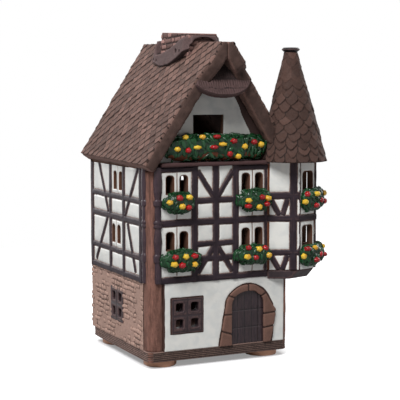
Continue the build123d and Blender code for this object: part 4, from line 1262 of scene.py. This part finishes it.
class CANDLEHOUSE_OT_ground_floor(Operator):
    """Ground floor: plastered front, pressed stones, corner posts, door, door surround and barred windows"""
    bl_idname = "candle_house.ground_floor"
    bl_label = "Ground floor"

    def execute(self, context):
        fine, plain = sizes().fine_step, sizes().wall_step
        for node in ("front_wall_lower", "left_wall_lower", "right_wall_lower", "back_wall_lower"):
            repaint(node, "inner clay")
        side = FlatSide("front_wall_lower", (0, -1, 0))
        reach = box_mm("corner_post_front_right")[1][0] - 2.2
        relief("plaster_front", side, (side.low[0], side.high[0]), (side.low[1], side.high[1]), fine,
               self.front_plaster(side), material("front glaze"),
               cut=lambda u, v: side.inside(u, v) + 0.02)
        head = box_mm("turret_floor")[0][2] - 0.3
        relief("plaster_front_corner", side, (side.high[0] - 0.5, reach), (side.low[1], head), fine,
               self.corner_plaster(reach), material("front glaze"))
        bare_patches = {
            "left": [(-18, 44, 5, 15), (36, 44, 6, 12), (2, 17, 10, 3.5), (-38, 18, 6, 4)],
            "right": [(18, 44, 5, 15), (-34, 42, 6, 12), (-4, 17, 10, 3.5), (38, 20, 6, 5)],
            "back": [(-30, 40, 6, 10), (8, 52, 9, 4), (36, 28, 6, 8), (-6, 18, 9, 4)],
        }
        for number, (name, direction) in enumerate((("left", (-1, 0, 0)), ("right", (1, 0, 0)),
                                                    ("back", (0, 1, 0)))):
            self.stones(name, direction, bare_patches[name], 71 + 5 * number,
                        plain if name != "left" else fine)
        self.door()
        for number, corner in enumerate(("front_left", "front_right", "back_left", "back_right")):
            clay_copy(f"clay_corner_{corner}", f"corner_post_{corner}", 1.0, material("corner clay"),
                      self.draw_down(81 + number), seed=81 + number, soften=3, wobble=0.3)
        for number, name in enumerate(("front_window", "left_window", "right_window")):
            clay_copy(f"barred_{name}", name, 0.7, material("shutter glaze"),
                      self.panes(name), seed=91 + number, wobble=0.12, soften=1)
        return {"FINISHED"}

    def front_plaster(self, side):
        """White plaster with a bare scored line round the door surround, the window and the left post; the
        line's dark clay partly paints the shade at their edges.
        """
        surround, (low, high) = FlatSide("door_surround", (0, -1, 0)), box_mm("front_window")

        def field(u, v):
            height, values = plaster_field(61)(u, v)
            line = np.minimum(-surround.inside(u, v), rectangle_field(u, v, low[0], high[0], low[2], high[2]))
            line = np.minimum(line, u - side.low[0] - 0.3) + 0.2 * noise(np.stack([u, v], -1), 4, 62)
            # a scored groove whose dark clay partly paints the shade line at the edges
            bare = soft_step(1.0, 0.5, line)
            return height - 0.3 * bare, dict(values, bare=bare)
        return field

    def corner_plaster(self, reach):
        """The plaster runs out over the plain corner on the right and ends there in a bare edge."""
        def field(u, v):
            height, values = plaster_field(61)(u, v)
            edge = np.minimum(reach - u, 3.0)
            return height - 0.5 * (1 - soft_step(0, 1.6, edge)), dict(values, bare=soft_step(1.1, 0.6, edge))
        return field

    def stones(self, name, direction, patches, seed, step):
        """Stones over a wall; on the sides they run on over the back corner, where the clay bulges."""
        run_on, bulge = 11.8, 0.5
        side = FlatSide(name + "_wall_lower", direction)
        plain, corner = stone_patch_field(patches, seed, sizes().stone_row), 0
        start, end = side.low[0], side.high[0]
        if name == "left":
            start, corner = start - run_on, start
        elif name == "right":
            end, corner = end + run_on, end

        def field(u, v):
            height, values = plain(u, v)
            return height + bulge * soft_step(0, 9, np.abs(u) - abs(corner)) * (u * corner > 0), values
        relief(f"stone_wall_{name}", side, (start, end), (side.low[1], side.high[1]), step, field,
               material("stone clay"), cut=holes_of(side, -0.02))

    def door(self):
        """Boards on the door leaf, and the surround with its joints cut into it."""
        side = FlatSide("door", (0, -1, 0))
        lo, hi = box_mm("door")
        middle, half, foot = (lo[0] + hi[0]) / 2, (hi[0] - lo[0]) / 2, lo[2]
        spring, cross_lines, lean = 25.2, (12.5, 25.5), 2.1
        joints = (((-30, 23.0), (-12, 23.0)), ((-30, 13.5), (-12, 7.5)), ((-19.5, 38), (-9, 34)),
                  ((-0.5, 38), (-0.8, 50)), ((10, 35), (19, 40)), ((12, 21.5), (26, 22.5)),
                  ((12, 11.0), (24, 12.5)))
        repaint("door", "shutter glaze")
        relief("door_boards", side, (lo[0], hi[0]), (lo[2], hi[2]), 0.45,
               door_field(middle, half, foot, cross_lines, 96), material("door boards"),
               cut=lambda u, v: side.inside(u, v) + 0.05, skirt=0.6)

        def cut_joints(points, normals):
            x, z = points[:, 0] - middle, points[:, 2] - foot
            nearest = np.full(len(points), 9.0)
            for start, end in joints:
                distance, _, _ = beam_field(x, z, start, end, 0.02)
                nearest = np.minimum(nearest, np.abs(distance))
            return -0.75 * np.exp(-(nearest / 0.55) ** 2), {"seam": np.clip(nearest - 0.25, 0, 4)}

        def close_up(points):
            """The right leg leans against the door."""
            points = points.copy()
            gap = arch_field(points[:, 0], points[:, 2], middle, half, foot, foot + spring,
                             hi[2] - foot - spring)
            right = soft_step(middle + 4, middle + 10, points[:, 0])
            points[:, 0] -= lean * right * np.clip(1 - (gap - 2) / 6, 0, 1)
            return points
        clay_copy("surround_stones", "door_surround", 0.6, material("surround clay"),
                  cut_joints, seed=97, soften=3, wobble=0.3, move=close_up)

    def draw_down(self, seed):
        """Strokes drawn down a corner post, dark along its upright edges."""
        def shape(points, normals):
            streak = noise(points / np.array([1.1, 1.1, 14.0]), 1, seed)
            low, high = points.min(0), points.max(0)
            aside = np.minimum(points - low, high - points)[:, :2].max(1) + 0.5 * noise(points, 9, seed + 1)
            return 0.12 * streak, {"end": soft_step(2.3, 0.9, aside)}
        return shape

    def panes(self, name):
        """A groove round the four panes and between them."""
        lo, hi = box_mm(name)
        axis = 0 if name.startswith("front") else 1
        centre_u, centre_z = (lo[axis] + hi[axis]) / 2, (lo[2] + hi[2]) / 2

        def shape(points, normals):
            u, z = points[:, axis] - centre_u, points[:, 2] - centre_z
            groove = np.minimum(np.abs(u), np.abs(z))
            border = np.minimum(11.4 - np.abs(u), 11.6 - np.abs(z))
            groove = np.minimum(groove, np.abs(border))
            return -0.4 * np.exp(-(groove / 0.45) ** 2), {}
        return shape


class CANDLEHOUSE_OT_base(Operator):
    """Combed base plate and its four clay feet"""
    bl_idname = "candle_house.base"
    bl_label = "Base plate and feet"

    def execute(self, context):
        repaint("base_plate", "corner clay")
        self.combed_edge()
        for number, corner in enumerate(("front_left", "front_right", "back_left", "back_right")):
            clay_copy(f"clay_foot_{corner}", f"foot_{corner}", 0.8, material("terracotta"),
                      seed=103 + number, wobble=0.3, soften=3)
        return {"FINISHED"}

    def combed_edge(self):
        """The side of the plate, drawn round with a comb, and a narrow strip of its top and underside."""
        lo, hi = box_mm("base_plate")
        cut, skin, comb = 3.0, 0.5, (0.9, 2.2, 3.5, 4.8, 6.0)
        x, y = hi[0] + skin, hi[1] + skin
        corners = [(x - cut, -y), (x, -y + cut), (x, y - cut), (x - cut, y), (-x + cut, y), (-x, y - cut),
                   (-x, -y + cut), (-x + cut, -y), (x - cut, -y)]
        lengths = np.hypot(*np.diff(np.array(corners), axis=0).T)
        stops = np.concatenate([[0], np.cumsum(lengths)])
        tall, lap = hi[2] - lo[2], 4.0

        def ring(u):
            return np.stack([np.interp(u, stops, [c[k] for c in corners]) for k in (0, 1)], -1)

        def warp(u, v, height):
            u = np.mod(u, stops[-1])
            spot = sum(ring(np.mod(u + d, stops[-1])) for d in (-1.6, -0.8, 0, 0.8, 1.6)) / 5
            ahead = ring(np.mod(u + 2.2, stops[-1])) - ring(np.mod(u - 2.2, stops[-1]))
            out = np.stack([ahead[..., 1], -ahead[..., 0]], -1)
            out = out / np.linalg.norm(out, axis=-1, keepdims=True)
            over, under = np.maximum(v - tall, 0), np.maximum(-v, 0)
            reach = (height - np.maximum(over, under))[..., None]
            z = lo[2] + np.clip(v, 0, tall) + np.where(over > 0, 0.2, 0) - np.where(under > 0, 0.2, 0)
            return np.concatenate([spot + out * reach, z[..., None]], -1)

        def field(u, v):
            turn = np.stack([np.cos(u / stops[-1] * 2 * np.pi) * 70, np.sin(u / stops[-1] * 2 * np.pi) * 70,
                             v], -1)
            level_v = v + 0.22 * noise(turn * np.array([1, 1, 0.2]), 16, 102)
            groove = np.full(u.shape, 9.0)
            for z in comb:
                groove = np.minimum(groove, np.abs(level_v - z))
            rim = soft_step(0, 0.8, np.minimum(v, tall - v))
            height = 0.35 * (rim - 1) + 0.15 * ripple(turn, 7, 103) - 0.38 * np.exp(-(groove / 0.3) ** 2)
            facing = ring(np.mod(u + 1, stops[-1])) - ring(np.mod(u - 1, stops[-1]))
            side = np.abs(facing[..., 0]) / np.maximum(np.linalg.norm(facing, axis=-1), 1e-6)
            inner = (v < 0) | (v > tall)
            # painted shade: the plate's front and back sides and the strips of its top and underside are
            # darker
            return height, {"seam": np.where(inner, 3, groove), "tone": u * 0 + 0.5,
                            "end": np.where(inner, 0.3, soft_step(0.35, 0.85, side))}
        relief("combed_plate", None, (0, stops[-1]), (-lap, tall + lap), 1.3, field, material("plate clay"),
               warp=warp, skirt=0.3, v_step=0.3)


class CANDLEHOUSE_OT_roof(Operator):
    """Main roof: hand-modelled slabs with rows of pointed scales, the hood, the gables and the ledge"""
    bl_idname = "candle_house.roof"
    bl_label = "Roof, hood and gables"

    def execute(self, context):
        step = sizes().roof_step
        for number, (name, direction) in enumerate((("left", (-0.84, 0, 0.54)), ("right", (0.84, 0, 0.54)))):
            node = "roof_" + name
            side = FlatSide(node, direction)
            chip, lean, grid = {"left": ((-45.1, -25.5, 171.1), 0.19, step),
                                "right": ((50.0, -25.5, 171.1), -0.19, step * 1.25)}[name]
            field = roof_side_field(111 + 10 * number, sizes().scale_pitch, sizes().scale_width, side.low[1],
                                    lean, (side.right @ np.array(chip), side.up @ np.array(chip)))
            relief(f"scales_{name}", side, (side.low[0] + 0.4, side.high[0] - 0.4),
                   (side.low[1] + 0.4, side.high[1] - 0.2), grid, field, material("roof clay"),
                   cut=lambda u, v, side=side: side.inside(u, v) - 0.7, skirt=0.8)
            clay_copy(f"slab_{name}", node, 1.5, material("roof clay plain"), self.chips,
                      seed=113 + number, soften=2, wobble=0.3, edge_scale=0.06)
        clay_copy("scratched_hood", "gable_hood", 0.5, material("hood clay"), self.scratches,
                  seed=115, soften=3, wobble=0.25, edge_scale=0.05)
        clay_copy("clay_ledge", "gable_ledge", 0.8, material("ledge clay"), seed=116, soften=2,
                  wobble=0.25)
        for number, (name, direction) in enumerate((("front", (0, -1, 0)), ("back", (0, 1, 0)))):
            node = name + "_gable_wall"
            repaint(node, "inner clay")
            side = FlatSide(node, direction)
            # the gables' darker white is painted shade under the roof's overhang
            relief(f"plaster_gable_{name}", side, (side.low[0], side.high[0]), (side.low[1], side.high[1]),
                   0.8, self.gable_field(side, 117 + number), material("gable glaze"),
                   cut=lambda u, v, side=side: side.inside(u, v) + 0.02)
        return {"FINISHED"}

    def gable_field(self, side, seed):
        """Glazed plaster; beside the slab on the right a raised strip of bare dark clay stands for the slab's
        underside, and its darkness is painted shade.
        """
        def field(u, v):
            height, values = plaster_field(seed, 0.35)(u, v)
            reach = np.interp(v, (163, 192), (7.6, 3.4)) + 0.5 * noise(np.stack([u, v], -1), 5, seed)
            slope = np.full(v.shape, -99.0)
            for u0, v0, u1, v1 in side.segments[np.abs(side.segments[:, 3] - side.segments[:, 1]) > 0.01]:
                t = (v - v0) / (v1 - v0)
                slope = np.where((t >= 0) & (t <= 1), np.maximum(slope, u0 + t * (u1 - u0)), slope)
            # bare strip: painted shade of the slab's underside
            bare = soft_step(reach + 0.4, reach - 0.4, 0.84 * (slope - u))
            return height + 0.7 * bare, dict(values, bare=bare)
        return field

    def scratches(self, points, normals):
        """Small upright scales drawn into the hood with a point, in staggered rows; painted shade under the
        beak, and darker rim faces that look to the front.
        """
        top = normals[:, 2] > 0.3
        x = points[:, 0] + 0.35 * noise(points, 6, 3)
        down = (points[:, 1] - points[:, 2]) * 0.71 + 0.35 * noise(points, 6, 4)
        row = np.floor(down / 2.3)
        x = x + 1.2 * cell_value(row[:, None], 6) + 0.5 * noise(points, 2.5, 7)
        across = np.abs((x / 1.9 + 0.5 * row) % 1 - 0.5) * 1.9
        along = np.abs(down / 2.3 % 1 - 0.5) * 2.3
        seam = np.minimum(0.95 - across, 1.15 - along)
        faint = 0.5 + 0.5 * soft_step(-0.3, 0.3, noise(points, 9, 9))
        # painted shade: darker high up under the beak; darker also on the rim faces that look to the front
        dark = np.maximum(soft_step(203, 209, points[:, 2]),
                          0.7 * soft_step(0.5, 0.85, -normals[:, 1]) * (normals[:, 2] < 0.3))
        return -0.2 * faint * top * np.exp(-(seam / 0.3) ** 2), {
            "seam": np.where(top, seam + 0.3 * (1 - faint), 3), "end": dark}

    def chips(self, points, normals):
        """Short strokes of the wooden tool on the ends of the slabs."""
        strokes = noise(points * np.array([0.5, 1, 0.3]) + 40, 1.6, 5)
        return 0.16 * strokes * np.abs(normals[:, 1]), {}


class CANDLEHOUSE_OT_chimney(Operator):
    """Brick chimney and the strap round its foot"""
    bl_idname = "candle_house.chimney"
    bl_label = "Chimney and strap"

    def execute(self, context):
        clay_copy("brick_chimney", "chimney", 0.55, material("brick clay"), self.bricks,
                  seed=121, soften=1, wobble=0.15)
        clay_copy("clay_strap", "chimney_collar", 0.75, material("strap clay"),
                  self.nail_holes, seed=122, soften=2, wobble=0.25)
        return {"FINISHED"}

    def nail_holes(self, points, normals):
        """Two holes pressed through the strap on its left, with painted shade in them and on the strap's
        underside.
        """
        hole = np.zeros(len(points))
        for centre, reach in (((-17.2, -22.2, 227.1), 1.5), ((-18.2, 17.4, 221.0), 1.2)):
            hole = np.maximum(hole, soft_step(reach, reach * 0.5,
                                              np.linalg.norm(points - np.array(centre), axis=1)))
        # painted shade: dark in the holes and on faces that look down
        return -0.9 * hole, {"end": np.maximum(hole, 0.8 * soft_step(0.1, 0.6, -normals[:, 2]))}

    def bricks(self, points, normals):
        """Bricks pressed into the upright sides, with a painted shadow below the strap."""
        across = np.where(np.abs(normals[:, 0]) > np.abs(normals[:, 1]), points[:, 1], points[:, 0] + 3)
        upright_side = soft_step(0.75, 0.5, np.abs(normals[:, 2]))
        distance, value, _, _ = laid_blocks(across, points[:, 2] + 0.04 * points[:, 1], sizes().brick_row,
                                            9.0, 123, 0.8)
        height = 0.55 * (soft_step(-0.1, 0.6, distance) - 0.6) + 0.25 * (value - 0.5)
        seam = np.where(upright_side > 0.5, distance, 4)
        # painted shadow of the strap on the bricks below it
        below = np.interp(points[:, 1], (-30.5, -12), (236.5, 224.5))
        return height * upright_side, {"seam": seam, "tone": np.where(upright_side > 0.5, value, 0.5),
                                       "end": soft_step(below + 0.8, below - 0.8, points[:, 2])}


class CANDLEHOUSE_OT_turret_roof(Operator):
    """Pointed cone of scales on the turret, its finial and the moulded floor below the turret"""
    bl_idname = "candle_house.turret_roof"
    bl_label = "Turret roof"

    def execute(self, context):
        repaint("turret_roof", "roof clay plain")
        lo, hi = box_mm("turret_roof")
        base = np.array(((lo[0] + hi[0]) / 2, (lo[1] + hi[1]) / 2, lo[2]))
        radius = (hi[0] - lo[0]) / 2
        top_lo, top_hi = box_mm("turret_finial")
        neck = np.array(((top_lo[0] + top_hi[0]) / 2, (top_lo[1] + top_hi[1]) / 2, hi[2]))
        neck_radius = 4.5
        slope = math.hypot(hi[2] - lo[2], radius - neck_radius)
        pitch = sizes().cone_pitch

        def warp(u, v, height):
            """Round the leaning cone by u and up it by v."""
            t = v / slope
            turn = u / radius + math.pi / 2
            reach = radius + (neck_radius - radius) * t + height * 0.97
            centre = base + t[..., None] * (neck - base)
            return np.stack([centre[..., 0] + reach * np.cos(turn), centre[..., 1] + reach * np.sin(turn),
                             centre[..., 2] + 0.2 * height], -1)

        def count(k):
            """How many scales go round in a row."""
            there = radius + (neck_radius - radius) * min(1, (k + 0.5) * pitch / slope)
            return max(5, int(round(2 * math.pi * there / sizes().cone_scale)))

        def field(u, v):
            spot = warp(u, v, u * 0)
            uneven = u + 1.7 * ripple(spot, 9, 129)
            height, seam, tone = scale_rows(uneven, v + 1.7 * ripple(spot, 9, 130), pitch,
                                            lambda k: 2 * math.pi * radius / count(k), int(slope / pitch) + 2,
                                            131, 1.25, count, 0.8, 1.5, 1.0)
            smoothed = soft_step(0.55, 0.85, v / slope + 0.12 * ripple(spot, 14, 133))
            height = height * (1 - 0.45 * smoothed) + 0.26 * ripple(spot, 2.2, 132)
            return height, {"seam": seam + 1.2 * smoothed, "tone": tone}
        relief("cone_scales", None, (0, 2 * math.pi * radius), (0, slope), sizes().roof_step * 1.2, field,
               material("cone clay"), warp=warp, skirt=0.6)
        clay_copy("finial_cap", "turret_finial", 0.4, material("finial glaze"), seed=133,
                  wobble=0.12, soften=2)
        clay_copy("turret_moulding", "turret_floor", 0.8, material("shutter glaze"), seed=134,
                  wobble=0.2, soften=2)
        return {"FINISHED"}


class CANDLEHOUSE_OT_flowers(Operator):
    """Flower boxes and garland: banks of leaves with yellow and red blossoms"""
    bl_idname = "candle_house.flowers"
    bl_label = "Flowers"

    def execute(self, context):
        leaf, slot = material("leaf glaze"), "green_glaze"
        count = sizes().leaf_count
        banks = {}
        upper = cushioned(0.0, widths=(0.86, 0.9), shifts=(0.3, 1.6))
        lower = cushioned(0.0, widths=(1.0, 1.0), shifts=(1.6, 0.0))
        along = cushioned(taper=(0.12, 0.1), power=9)
        for number, (name, node, amount, move, size) in enumerate((
                ("boxes_upper", "front_flower_boxes_upper", 0.9, upper, 1.0),
                ("boxes_lower", "front_flower_boxes_lower", 0.9, lower, 1.0),
                ("garland", "gable_garland", 1.5, along, 1.35),
                ("turret_upper", "turret_flower_boxes_upper", 0.7, None, 1.0),
                ("turret_lower", "turret_flower_boxes_lower", 0.7, None, 1.0))):
            # the bank's darker glaze is painted shade between the leaves
            copy = clay_copy(f"leaf_bank_{name}", node, 0.75, material("leaf glaze, deep"),
                             leaf_shape(141 + 5 * number, 1.0 if name == "garland" else 0.0),
                             seed=142 + number, wobble=0.1, soften=4, edge_scale=0.2, move=move)
            banks[name] = copy
            facing = (0.5, -0.87, 0) if name.startswith("turret") else (0, -1, 0)
            parts = leaves_on(copy, int(count * amount), 143 + number, facing, size)
            join_parts(f"leaves_{name}", parts, leaf)
        self.blossoms(banks)
        return {"FINISHED"}

    def blossoms(self, banks):
        """Yellow (y) and red (r) blossoms pressed on the banks, each from its place seen from outside."""
        front = (0, 1, 0)
        places = []
        for name, spots in {
            "boxes_upper": [(-43, 120, "y"), (-34, 117, "y"), (-28, 123, "y"), (-36, 123, "r"),
                            (-29, 116, "r"), (19, 119, "y"), (28, 114, "y"), (35, 120, "y"), (30, 121, "r"),
                            (19, 115, "r"), (34, 116, "r")],
            "boxes_lower": [(-40, 76, "y"), (-31, 81, "y"), (-24, 75, "y"), (-39, 81, "r"), (-24, 81, "r"),
                            (-34, 75, "r"), (28, 83, "y"), (18, 78, "y"), (36, 78, "y"), (20, 84, "r"),
                            (25, 77, "r"), (34, 83, "r")],
            "garland": [(-35, 157, "y"), (-28, 165, "y"), (-27, 156, "r"), (-20, 158, "y"), (-15, 165, "y"),
                        (-7, 158, "r"), (-4, 165, "r"), (0, 160, "y"), (6, 153, "r"), (9, 162, "r"),
                        (13, 151, "y"), (18, 158, "y"), (26, 161, "r"), (32, 159, "y")],
        }.items():
            places += [(name, (x, -90, z), front, kind) for x, z, kind in spots]
        turn = math.radians(17)  # the way the turret's front facet looks
        facets = (((math.sin(turn), -math.cos(turn), 0), (68.1, -64.1),
                   [(-6.4, 82, "r"), (-8.6, 76.5, "y"), (1.6, 82, "y"), (7.4, 77, "r"), (1.4, 73.5, "r")]),
                  ((0.998, -0.057, 0), (77.0, -52.7),
                   [(-4.5, 81, "y"), (3.5, 80, "r"), (0, 74, "y"), (5.5, 75, "r"), (-5, 75, "r")]))
        for name, level_z in (("turret_upper", 40.4), ("turret_lower", 0)):
            for out, middle, spots in facets:
                out = np.array(out)
                right = np.array((-out[1], out[0], 0))
                for u, z, kind in spots:
                    start = np.array((*middle, 0)) + right * u + out * 30 + np.array((0, 0, z + level_z))
                    places.append((name, tuple(start), tuple(-out), kind))
        groups = {"y": [], "r": []}
        for number, (name, start, direction, kind) in enumerate(places):
            where, out = surface_hit(banks[name], start, direction)
            out = 0.7 * -np.array(direction) + 0.3 * out
            one, two = (float(cell_value(np.array([number, k]), 7)) for k in (1, 2))
            wide, tall = 4.4 + 1.4 * one, 3.7 + 0.8 * two
            if name == "garland" and one > 0.72:
                wide, tall = 6.6, 3.2
            groups[kind].append(blossom(where, out, wide, tall, number))
        join_parts("blossoms_yellow", groups["y"], material("yellow glaze"))
        join_parts("blossoms_red", groups["r"], material("red glaze"))


class CANDLEHOUSE_OT_stage(Operator):
    """Camera, soft studio light, pale floor and white surroundings"""
    bl_idname = "candle_house.stage"
    bl_label = "Stage"

    def execute(self, context):
        self.camera()
        self.lights()
        self.floor()
        bpy.context.scene.view_settings.view_transform = "Standard"
        return {"FINISHED"}

    def link(self, name, data):
        obj = bpy.data.objects.new(name, data)
        bpy.context.scene.collection.objects.link(obj)
        return obj

    def camera(self):
        """A long lens in front of the house and to its left, looking slightly down."""
        data = bpy.data.cameras.new("camera")
        obj = self.link("camera", data)
        yaw, pitch, aim, distance, lens = 0.44792, 0.096376, (10.71, 0, 114.1), 917.48, 107.34
        view = Vector((math.sin(yaw) * math.cos(pitch), math.cos(yaw) * math.cos(pitch), -math.sin(pitch)))
        obj.location = Vector(aim) * MM - view * distance * MM
        obj.rotation_euler = view.to_track_quat("-Z", "Y").to_euler()
        data.sensor_width = 36
        data.lens = lens
        data.clip_start = 0.01
        bpy.context.scene.camera = obj

    def lights(self):
        """A dim white room that the camera and reflections see as white, and three soft lamps."""
        room, aim = 0.12, Vector((0, 0, 0.11))
        world = bpy.data.worlds.new("white room")
        bpy.context.scene.world = world
        world.use_nodes = True
        kit = Tree(world.node_tree)
        shade_node = world.node_tree.nodes["Background"]
        path = kit.add("ShaderNodeLightPath")
        seen = kit.larger(path.outputs["Is Camera Ray"], path.outputs["Is Transmission Ray"])
        seen = kit.larger(seen, path.outputs["Is Glossy Ray"])
        shade_node.inputs["Color"].default_value = (1, 1, 1, 1)
        kit.feed(shade_node.inputs["Strength"], kit.between(seen, 0, 1, room, 1.0, False))
        for name, spot, size, power in (("key light", (-0.88, -0.86, 1.5), 0.8, 40),
                                        ("rim light", (-0.4, 1.35, 0.6), 1.0, 7),
                                        ("side light", (1.45, 0.25, 0.7), 0.9, 10)):
            lamp = bpy.data.lights.new(name, "AREA")
            lamp.size = size
            lamp.energy = power
            obj = self.link(name, lamp)
            obj.location = spot
            obj.rotation_euler = (aim - Vector(spot)).to_track_quat("-Z", "Y").to_euler()

    def floor(self):
        """A pale floor that the camera sees as white, with a painted contact shadow close to the object,
        where ambient occlusion dims its glow.
        """
        half = 0.6
        mesh = bpy.data.meshes.new("floor")
        mesh.from_pydata([(-half, -half, 0), (half, -half, 0), (half, half, 0), (-half, half, 0)], [],
                         [(0, 1, 2, 3)])
        obj = self.link("floor", mesh)
        f = Finish("pale floor", 0.1)
        where = f.kit.place()
        grain = f.kit.noise(where, 2.0, 2)
        color = f.kit.mix(f.kit.between(grain, 0.3, 0.7, 0, 0.3), (0.50, 0.50, 0.51), (0.48, 0.48, 0.49))
        path = f.kit.add("ShaderNodeLightPath")
        near = f.kit.add("ShaderNodeAmbientOcclusion")
        near.inputs["Distance"].default_value = 16 * MM
        # painted contact shadow: ambient occlusion near the object dims the glow that the camera sees
        glow_with_painted_shadow = f.kit.between(near.outputs["AO"], 0.3, 0.9, 0.28, 0.92)
        f.shader.inputs["Emission Color"].default_value = (1, 1, 1, 1)
        f.kit.feed(f.shader.inputs["Emission Strength"], f.kit.times(path.outputs["Is Camera Ray"], glow_with_painted_shadow))
        mesh.materials.append(f.finish(color, 0.9))


OPERATORS = (
    CANDLEHOUSE_OT_timber_walls, CANDLEHOUSE_OT_ground_floor, CANDLEHOUSE_OT_base, CANDLEHOUSE_OT_roof,
    CANDLEHOUSE_OT_chimney, CANDLEHOUSE_OT_turret_roof, CANDLEHOUSE_OT_flowers, CANDLEHOUSE_OT_stage)


class CANDLEHOUSE_PT_panel(Panel):
    """Sizes, colours and the steps that dress the house"""
    bl_label = "Candle House"
    bl_idname = "CANDLEHOUSE_PT_panel"
    bl_space_type = "VIEW_3D"
    bl_region_type = "UI"
    bl_category = "Candle House"

    def draw(self, context):
        for group in (context.scene.candle_house_sizes, context.scene.candle_house_colours):
            box = self.layout.box()
            for key in group.__annotations__:
                box.prop(group, key)
        for operator in OPERATORS:
            self.layout.operator(operator.bl_idname)


CLASSES = (CandleHouseSizes, CandleHouseColours, *OPERATORS, CANDLEHOUSE_PT_panel)


def register():
    for cls in CLASSES:
        bpy.utils.register_class(cls)
    bpy.types.Scene.candle_house_sizes = PointerProperty(type=CandleHouseSizes)
    bpy.types.Scene.candle_house_colours = PointerProperty(type=CandleHouseColours)


def unregister():
    del bpy.types.Scene.candle_house_colours
    del bpy.types.Scene.candle_house_sizes
    for cls in reversed(CLASSES):
        bpy.utils.unregister_class(cls)


def main():
    register()
    for operator in OPERATORS:
        group, name = operator.bl_idname.split(".")
        getattr(getattr(bpy.ops, group), name)()


if __name__ == "__main__":
    main()
